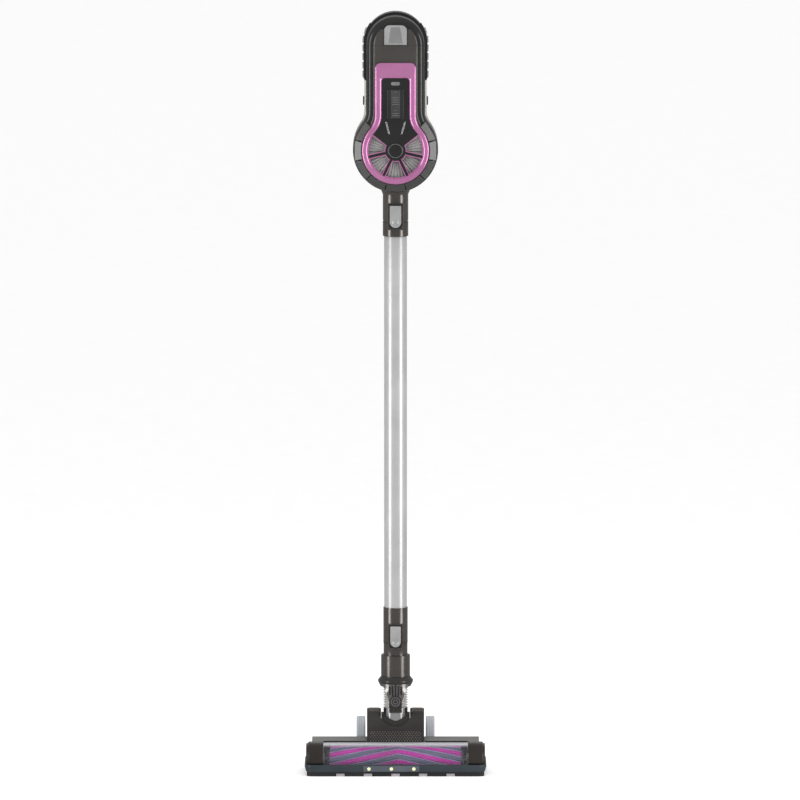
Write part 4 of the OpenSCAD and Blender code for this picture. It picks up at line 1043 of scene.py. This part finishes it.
pink = finish(
    "pink_lacquer", metal_flake, 3600.0, (0.6, 0.21, 0.45), (0.68, 0.26, 0.52), (0.2, 0.26), 0.04,
    Metallic=0.6, Coat_Weight=0.8, Coat_Roughness=0.05
)
frame_half = spine_half - 12 * MM
frame_in = frame_half - 9.8 * MM
outer_line = keyhole(ring_r, frame_half, trim_high.z - pod_z, 9 * MM, 28 * MM)
inner_line = keyhole(panel_high.x, frame_in, panel_high.z - pod_z, 4.6 * MM, 37 * MM)
crown = trim_low.y
bm = bmesh.new()
loops = []
for share, drop in (
    (0.0, 6.0), (0.0, 2.6), (0.03, 1.9), (0.09, 1.3), (0.18, 0.75), (0.3, 0.32), (0.42, 0.08), (0.52, 0.0),
    (0.64, 0.16),
    (0.78, 0.65), (0.9, 1.35), (0.97, 2.0), (1.0, 2.6), (1.0, 6.0), (0.0, 6.0)
):
    loops.append(on_pod(between(outer_line, inner_line, share), crown + drop * MM))
skin(bm, loops, capped=False)
piece("pink_frame", bm, pink, "trim_frame", sharp=50.0)


# ---------------------------------------------------------------- grille and hub
# A piano-black panel whose lower end is the exhaust grille. Five of its seven gaps are open,
# each edged in pink, and a disc with a thin bright ring covers the middle.
piece(
    "grille_panel_gloss", moulding("grille_panel"), black_gloss, "grille_panel", round_off=0.4 * MM,
    sharp=40.0
)
spokes = 7
spoke_half = 3.2 * MM
gap_in = 16 * MM
gap_out = panel_high.x - 1.2 * MM
panel_y = panel_low.y


def gap_loop(centre, grow, y):
    """Outline of one gap of the grille, grown all round."""
    inner, outer, spoke = gap_in - grow, gap_out + grow, spoke_half - grow
    span = [180.0 / spokes - math.degrees(math.asin(spoke / r)) for r in (inner, outer)]
    rim = arc(0, 0, outer, centre - span[1], centre + span[1], 10)
    rim += arc(0, 0, inner, centre + span[0], centre - span[0], 5)
    return on_pod(rim, y)


bm = bmesh.new()
for k in range(-2, 3):
    centre = -90.0 + k * 360.0 / spokes
    skin(bm, [gap_loop(centre, grow * MM, panel_y + back * MM) for grow, back in (
        (-0.1, 2.4), (-0.1, -0.15), (0.1, -0.4), (1.1, -0.4), (1.3, -0.15), (1.3, 0.2), (1.3, 2.4),
        (-0.1, 2.4)
    )], capped=False)
piece("gap_edgings", bm, pink, like="grille_panel", sharp=35.0)

hub_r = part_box("hub_cap")[1].x
bm = bmesh.new()
lathe(
    bm, [
        (0, 1.9 * MM), (hub_r - 3.2 * MM, 1.7 * MM), (hub_r - 2.4 * MM, 1.3 * MM),
        (hub_r - 0.6 * MM, 1.2 * MM),
        (hub_r, 0.7 * MM), (hub_r, 0), (0, 0)
    ], Vector((0, panel_y, pod_z)), (0, -1, 0), steps=72
)
piece("hub_disc", bm, black_gloss, "hub_cap", sharp=40.0)
chrome = finish(
    "bright_chrome", moulded_grain, 300.0, (0.8, 0.8, 0.81), (0.86, 0.86, 0.87), (0.08, 0.14), 0.02,
    Metallic=1.0
)
bm = bmesh.new()
lathe(
    bm, [
        (hub_r - 1.9 * MM, 1.1 * MM), (hub_r - 1.7 * MM, 1.55 * MM), (hub_r - 1.2 * MM, 1.55 * MM),
        (hub_r - 1.0 * MM, 1.1 * MM),
        (hub_r - 1.9 * MM, 1.1 * MM)
    ], Vector((0, panel_y, pod_z)), (0, -1, 0), steps=72
)
piece("hub_ring", bm, chrome, like="hub_cap")
piece("chrome_strip_pair", moulding("chrome_strips"), chrome, "chrome_strips", round_off=0.22 * MM)


# ---------------------------------------------------------------- exhaust filter
# A silver-grey pleated disc behind the grille, its pleats running out from the middle.
# It stands in a round bore of the front shell and cleans the air that the fan blows out.
filter_low, filter_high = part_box("exhaust_filter")
filter_silver = finish(
    "filter_silver", drawn_metal, 1500.0, (0.36, 0.355, 0.35), (0.58, 0.575, 0.57), (0.3, 0.42), 0.3,
    Metallic=0.2
)
pleats = 44
bm = bmesh.new()
lathe(
    bm, [
        (0, 7.6 * MM), (9 * MM, 7.6 * MM), (filter_high.x - 0.4 * MM, 7.6 * MM),
        (filter_high.x - 0.4 * MM, 0), (0, 0)
    ],
    Vector((0, filter_high.y, pod_z)), (0, -1, 0), steps=pleats * 2
)
for vert in bm.verts:
    place = Vector((vert.co.x, vert.co.z - pod_z))
    if place.length > 8 * MM and vert.co.y < filter_low.y + 3 * MM:
        step = round(math.atan2(place.y, place.x) / math.pi * pleats)
        vert.co.y += 2.2 * MM if step % 2 else -0.6 * MM
piece("exhaust_filter_pleats", bm, filter_silver, "exhaust_filter", sharp=12.0)


# ---------------------------------------------------------------- power switch and charge light
# A dark rocker-shaped slider with a raised middle and fine finger ribs, moving up and down.
# The small frosted window over it shows the charge in three steps.
slider_low, slider_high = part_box("power_slider")
switch_dark = finish(
    "switch_dark", moulded_grain, 1100.0, (0.014, 0.014, 0.015), (0.022, 0.022, 0.023), (0.25, 0.33), 0.08,
    Coat_Weight=0.3
)
bm = moulding("power_slider")
piece("power_slider_body", bm, switch_dark, "power_slider", round_off=0.7 * MM)
slider_mid = (slider_low.z + slider_high.z) / 2
slider_half = (slider_high.z - slider_low.z) / 2


def slider_front(z):
    """Depth of the slider's face, which falls back to both ends."""
    return slider_low.y + 1.4 * MM * abs(z - slider_mid) / slider_half


bm = bmesh.new()
loops = []
for i in range(9):
    z = slider_mid + (slider_half - 1.2 * MM) * (i / 4 - 1)
    y = slider_front(z)
    loops.append([
        Vector((x * MM, y + d * MM, z))
        for x, d in (
            (-6.6, 0.9), (-6.2, -0.1), (-4.6, -0.75), (0, -0.95), (4.6, -0.75), (6.2, -0.1), (6.6, 0.9)
        )
    ])
skin(bm, loops)
# The raised middle takes a lighter copy of the slider's dark plastic: a painted highlight along the ridge.
ridge_painted_highlight = finish(
    "ridge_painted_highlight", moulded_grain, 1100.0, (0.035, 0.035, 0.037), (0.05, 0.05, 0.052), (0.22, 0.3), 0.05,
    Coat_Weight=0.4
)
piece("power_slider_ridge", bm, ridge_painted_highlight, like="power_slider", round_off=0.25 * MM, sharp=30.0)
bm = bmesh.new()
for z, wide in (
    (0.82, 3.2), (0.45, 9.0), (0.3, 9.0), (0.15, 9.0), (0.0, 9.0), (-0.4, 3.2), (-0.62, 9.0), (-0.75, 9.0)
):
    height = slider_mid + slider_half * z
    block(bm, (0, slider_front(height) - 0.85 * MM, height), (wide * MM, 0.9 * MM, 0.7 * MM))
rib_light = finish(
    "rib_light", moulded_grain, 1100.0, (0.13, 0.13, 0.135), (0.18, 0.18, 0.185), (0.3, 0.4), 0.05
)
piece("power_slider_ribs", bm, rib_light, like="power_slider", round_off=0.2 * MM)
indicator = finish(
    "frosted_indicator", moulded_grain, 700.0, (0.09, 0.091, 0.094), (0.2, 0.202, 0.206), (0.3, 0.45), 0.1
)
piece("indicator_window", moulding("indicator_lens"), indicator, "indicator_lens", round_off=0.15 * MM)


# ---------------------------------------------------------------- battery and its release
# The pack slides in from the top. Its arched end cap carries on the lines of the front shell:
# near-black sides, a gunmetal plate and a piano-black crown. The silver latch has a sunk face.
bm = front_solid()
slice_off(bm, seam_z + 0.25 * MM, above=True)
piece("battery_cap_body", bm, near_black, "battery_case", sharp=50.0)
crown_z = seam_z + 24 * MM
bm = face_plate(0.6 * MM)
slice_off(bm, seam_z + 0.25 * MM, above=True)
slice_off(bm, crown_z, above=False)
piece("battery_cap_plate", bm, gunmetal_face, like="battery_case", sharp=60.0)
bm = face_plate(0.75 * MM)
slice_off(bm, crown_z, above=True)
piece("battery_cap_crown", bm, black_gloss, like="battery_case", sharp=60.0)
case_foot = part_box("battery_case")[0].z
cells_low, cells_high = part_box("battery_cells")
bm = bmesh.new()
case_wall = 1.7 * MM
block(bm, (0, (cells_low.y + cells_high.y) / 2, (case_foot + seam_z) / 2), (
    cells_high.x - cells_low.x + 2 * case_wall, cells_high.y - cells_low.y + 2 * case_wall,
    seam_z - case_foot
))
piece("battery_pack_case", bm, black_satin, like="battery_case", round_off=3 * MM, segments=4)

release_low, release_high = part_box("battery_button")
release_half = release_high.x
release_top = release_high.z - release_low.z


def release_loop(grow, y):
    """Outline of the release button, grown all round."""
    corner = 8 * MM + grow
    side = release_half + grow
    top = release_top + grow
    points = [(-side, -grow), (side, -grow)]
    for middle, start in ((side - corner, 0), (corner - side, 90)):
        points += arc(middle, top - corner, corner, start, start + 90, 8)
    return [Vector((x, y, release_low.z + z)) for x, z in points]


def sunk_loop(y):
    """Outline of the sunk thumb face, with as many points as the button has."""
    points = [(-0.64 * release_half, 0.9 * MM), (0.64 * release_half, 0.9 * MM)]
    for middle, start in ((0.42 * release_half - 3 * MM, 0), (3 * MM - 0.42 * release_half, 90)):
        points += arc(middle, release_top - 6 * MM, 3 * MM, start, start + 90, 8)
    return [Vector((x, y, release_low.z + z)) for x, z in points]


bm = bmesh.new()
front = release_low.y
skin(bm, [
    release_loop(0.0, release_high.y), release_loop(0.0, front + 1.2 * MM),
    release_loop(-0.35 * MM, front + 0.4 * MM),
    release_loop(-1.2 * MM, front - 0.5 * MM), release_loop(-2.6 * MM, front - 0.8 * MM),
    sunk_loop(front - 0.5 * MM)
])
piece("battery_release", bm, catch_silver, "battery_button", sharp=28.0)
bm = bmesh.new()
skin(bm, [sunk_loop(front + 0.5 * MM), sunk_loop(front - 0.56 * MM)])
# The sunk thumb face is a darker grey than the silver latch: painted shade in the recess.
release_pad_painted_shade = finish(
    "release_pad_painted_shade", metal_flake, 2600.0, (0.2, 0.2, 0.2), (0.26, 0.26, 0.26), (0.3, 0.4), 0.08, Metallic=0.2
)
piece("battery_release_pad", bm, release_pad_painted_shade, like="battery_button", sharp=28.0)
bm = bmesh.new()
skin(bm, [release_loop(grow * MM, front_y + back * MM) for grow, back in (
    (0.9, 0.3), (0.9, -0.9), (0.35, -0.9), (0.35, 0.3), (0.9, 0.3)
)], capped=False)
piece("battery_release_well", bm, black_satin, like="battery_case", sharp=30.0)


# ---------------------------------------------------------------- rear shell and side grips
# The pale rear half of the handset, with a soft back edge. Slanted silver bars on a rubber
# band give grip at both sides of its top; a socket and screws are let into its back.
ivory = finish(
    "ivory_gloss", moulded_grain, 900.0, (0.72, 0.7, 0.64), (0.79, 0.77, 0.71), (0.24, 0.32), 0.05,
    Coat_Weight=0.35
)


def rim_edges(bm, y):
    """The edges of the outer rim at a depth: the longest loop of sharp edges there."""
    flat = {
        e for e in bm.edges
        if e.calc_face_angle(0.0) > 0.8 and all(abs(v.co.y - y) < 0.05 * MM for v in e.verts)
    }
    best = []
    while flat:
        chain = [flat.pop()]
        for edge in chain:
            for vert in edge.verts:
                for other in vert.link_edges:
                    if other in flat:
                        flat.remove(other)
                        chain.append(other)
        if sum(e.calc_length() for e in chain) > sum(e.calc_length() for e in best):
            best = chain
    return best


def ease(bm, edges, width, segments):
    """Rounds a run of edges."""
    bmesh.ops.bevel(
        bm, geom=edges, offset=width, offset_type="OFFSET", segments=segments, profile=0.5, affect="EDGES",
        clamp_overlap=False, material=-1
    )


grip_low, grip_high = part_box("side_grips")
grip_half = grip_high.x
for name, above, paint in (("rear_shell_lower", False, ivory), ("rear_shell_crown", True, near_black)):
    bm = moulding("rear_shell")
    ease(bm, rim_edges(bm, rear_y), 4.5 * MM, 6)
    slice_off(bm, grip_low.z - 2 * MM, above, fill=False)
    if above:
        piece(name, bm, paint, "rear_shell", round_off=0.0, sharp=40.0)
    else:
        piece(name, bm, paint, like="rear_shell", round_off=0.0, sharp=40.0)
rubber = finish(
    "soft_rubber", moulded_grain, 2400.0, (0.02, 0.02, 0.021), (0.035, 0.035, 0.036), (0.55, 0.7), 0.3
)
piece("side_grip_bands", moulding("side_grips"), rubber, "side_grips", round_off=0.4 * MM)
bar_pitch = 12.6 * MM
bm = bmesh.new()
for side in (-1, 1):
    for k in range(6):
        run = grip_low.z - seam_z + 6 * MM + k * bar_pitch
        swing = max(0.0, run) / grip_half
        middle = (side * (grip_half + 0.3 * MM), (grip_low.y + grip_high.y) / 2, min(0.0, run))
        placed = Matrix.Translation((0, 0, seam_z)) @ Matrix.Rotation(-side * swing, 4, "Y")
        placed = placed @ Matrix.Translation(middle) @ Matrix.Rotation(math.radians(16.0), 4, "X")
        bmesh.ops.create_cube(
            bm, size=1.0, matrix=placed @ Matrix.Diagonal((3.0 * MM, 22 * MM, 3.6 * MM, 1.0))
        )
bar_silver = finish(
    "bar_silver", metal_flake, 2600.0, (0.42, 0.42, 0.42), (0.52, 0.52, 0.52), (0.22, 0.3), 0.06,
    Metallic=0.2
)
piece("side_grip_bars", bm, bar_silver, like="side_grips", round_off=1.0 * MM)
piece("charge_socket_ring", moulding("charge_socket"), black_satin, "charge_socket", round_off=0.3 * MM)
for node in ("release_left", "release_right"):
    piece(node + "_button", moulding(node), black_satin, node, round_off=0.8 * MM)


# ---------------------------------------------------------------- handle
# A D-shaped charcoal loop with well-rounded bars, moulded to the back of the handset, and a
# ribbed rubber pad where the fingers close round it.
bm = moulding("handle_loop")
bar_edges = [
    edge for edge in bm.edges
    if abs(edge.verts[0].co.x - edge.verts[1].co.x) < 1e-5 and edge.calc_face_angle(0.0) > 1.2
    and max(vert.co.y for vert in edge.verts) > rear_y + 0.3 * MM
]
ease(bm, bar_edges, 5.5 * MM, 6)
piece("handle_loop_body", bm, charcoal, "handle_loop", sharp=50.0)
pad_low, pad_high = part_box("handle_grip")
bm = bmesh.new()
ribs = 16
profile = [(pad_low.y - 4 * MM, pad_low.z)]
for i in range(ribs):
    z = pad_low.z + (pad_high.z - pad_low.z) * i / ribs
    tall = (pad_high.z - pad_low.z) / ribs
    profile += [(pad_high.y - 1.2 * MM, z + 0.1 * tall), (pad_high.y, z + 0.35 * tall),
                (pad_high.y, z + 0.7 * tall),
                (pad_high.y - 1.2 * MM, z + 0.95 * tall)]
profile.append((pad_low.y - 4 * MM, pad_high.z))
loops = []
for i in range(13):
    x = pad_high.x * (i / 6 - 1)
    fall = 7.5 * MM * max(0.0, abs(i / 6 - 1) - 0.45) ** 1.6
    loops.append([Vector((x, y - fall * (y > pad_low.y - 1 * MM), z)) for y, z in profile])
skin(bm, loops)
piece("handle_grip_pad", bm, rubber, "handle_grip", sharp=40.0)


# ---------------------------------------------------------------- dust cup
# A smoked clear tub with a pleated filter inside it and a hinged door. A silver latch over
# the rim keeps the door shut.
smoked = clear_finish("smoked_clear", (0.06, 0.055, 0.07), (0.05, 0.1), 0.4, 0.85)
piece("dust_cup_tub", moulding("dust_cup"), smoked, "dust_cup", round_off=0.8 * MM)
piece("cup_door_plate", moulding("cup_door"), smoked, "cup_door", round_off=0.8 * MM)
piece("cup_latch_lever", moulding("cup_latch"), catch_silver, "cup_latch", round_off=0.7 * MM)
filter_white = finish(
    "filter_paper", plush_pile, 1200.0, (0.6, 0.59, 0.55), (0.7, 0.69, 0.65), (0.8, 0.95), 0.4
)
piece(
    "filter_cartridge_pleats", moulding("filter_cartridge"), filter_white, "filter_cartridge",
    round_off=0.3 * MM, segments=2
)


# ---------------------------------------------------------------- pieces kept as the CAD drew them
# The inner works and the small hardware keep their CAD shapes. Each takes a moulded finish
# in the colour, gloss and metal of its own material slot.
def plain_finish(slot):
    """Makes the finish of a slot from the record's own colour."""
    entry = next(m for m in frame["record"]["materials"] if m["slot"] == slot)
    shade = entry.get("base_color") or entry.get("color") or [0.3, 0.3, 0.3]
    shade = [float(c) for c in shade[:3]]
    metal = float(entry.get("metallic", 0.0))
    rough = float(entry.get("roughness", 0.5))
    return finish(
        "kept_" + slot, moulded_grain, 1300.0, tuple(c * 0.85 for c in shade),
        tuple(min(1.0, c * 1.1) for c in shade),
        (rough * 0.9, min(1.0, rough * 1.1)), 0.12, Metallic=metal
    )


kept = {}
for node, part in frame["nodes"].items():
    if part.hide_render or part.data.materials[0] in (steel,):
        continue
    slot = slots[node]
    if slot not in kept:
        kept[slot] = plain_finish(slot)
    part.data.materials[0] = kept[slot]


# ---------------------------------------------------------------- floor, light and camera
# A plain white floor, tall soft lights to the left and right, and a low front camera. The
# upright lights give the tube and the sleeves their bright streaks.
bm = bmesh.new()
bmesh.ops.create_grid(bm, x_segments=1, y_segments=1, size=60.0)
mesh = bpy.data.meshes.new("studio_floor")
bm.to_mesh(mesh)
bm.free()
mesh.materials.append(finish(
    "studio_white", moulded_grain, 40.0, (0.88, 0.88, 0.88), (0.9, 0.9, 0.9), (0.9, 1.0), 0.0,
    Emission_Color=(1.0, 1.0, 1.0, 1.0), Emission_Strength=0.24
))
floor = bpy.data.objects.new("studio_floor", mesh)
scene.collection.objects.link(floor)
floor.visible_glossy = False

world = bpy.data.worlds.new("studio_world")
world.use_nodes = True
ray = world.node_tree.nodes.new("ShaderNodeLightPath")
sky = world.node_tree.nodes.new("ShaderNodeMapRange")
sky.inputs["To Min"].default_value = 0.85
sky.inputs["To Max"].default_value = 0.3
seen = world.node_tree.nodes.new("ShaderNodeMath")
seen.operation = "ADD"
glow = world.node_tree.nodes.new("ShaderNodeMath")
glow.operation = "MULTIPLY"
glow.inputs[1].default_value = 0.25
world.node_tree.links.new(ray.outputs["Is Glossy Ray"], sky.inputs["Value"])
world.node_tree.links.new(ray.outputs["Is Camera Ray"], glow.inputs[0])
world.node_tree.links.new(sky.outputs["Result"], seen.inputs[0])
world.node_tree.links.new(glow.outputs["Value"], seen.inputs[1])
world.node_tree.nodes["Background"].inputs["Color"].default_value = (1.0, 1.0, 1.0, 1.0)
world.node_tree.links.new(seen.outputs["Value"], world.node_tree.nodes["Background"].inputs["Strength"])
scene.world = world
scene.view_settings.view_transform = "Standard"

aim = Vector((0.0065, 0.0, 0.5413))


def softbox(name, place, width, height, power, mirrored=True):
    """An upright soft light that faces the object."""
    light = bpy.data.lights.new(name, "AREA")
    light.shape = "RECTANGLE"
    light.size = width
    light.size_y = height
    light.energy = power
    made = bpy.data.objects.new(name, light)
    made.location = place
    made.rotation_euler = (aim - Vector(place)).to_track_quat("-Z", "Y").to_euler()
    made.visible_glossy = mirrored
    scene.collection.objects.link(made)


softbox("left_softbox", (-1.75, -1.1, 0.75), 0.6, 1.9, 13.0)
softbox("right_softbox", (1.75, -1.1, 0.75), 0.7, 1.9, 14.0)
softbox("top_softbox", (0.0, -0.9, 2.4), 1.2, 0.8, 6.0, mirrored=False)
softbox("back_softbox", (0.4, 1.9, 1.5), 1.4, 1.0, 8.0, mirrored=False)

lens = bpy.data.cameras.new("front_camera")
lens.lens = 400.0
lens.sensor_width = 36.0
camera = bpy.data.objects.new("front_camera", lens)
tilt = math.radians(6.6)
away = 1.162 * lens.lens / lens.sensor_width
camera.location = aim + Vector((0.0, -math.cos(tilt), math.sin(tilt))) * away
camera.rotation_euler = (math.pi / 2 - tilt, 0.0, 0.0)
scene.collection.objects.link(camera)
scene.camera = camera
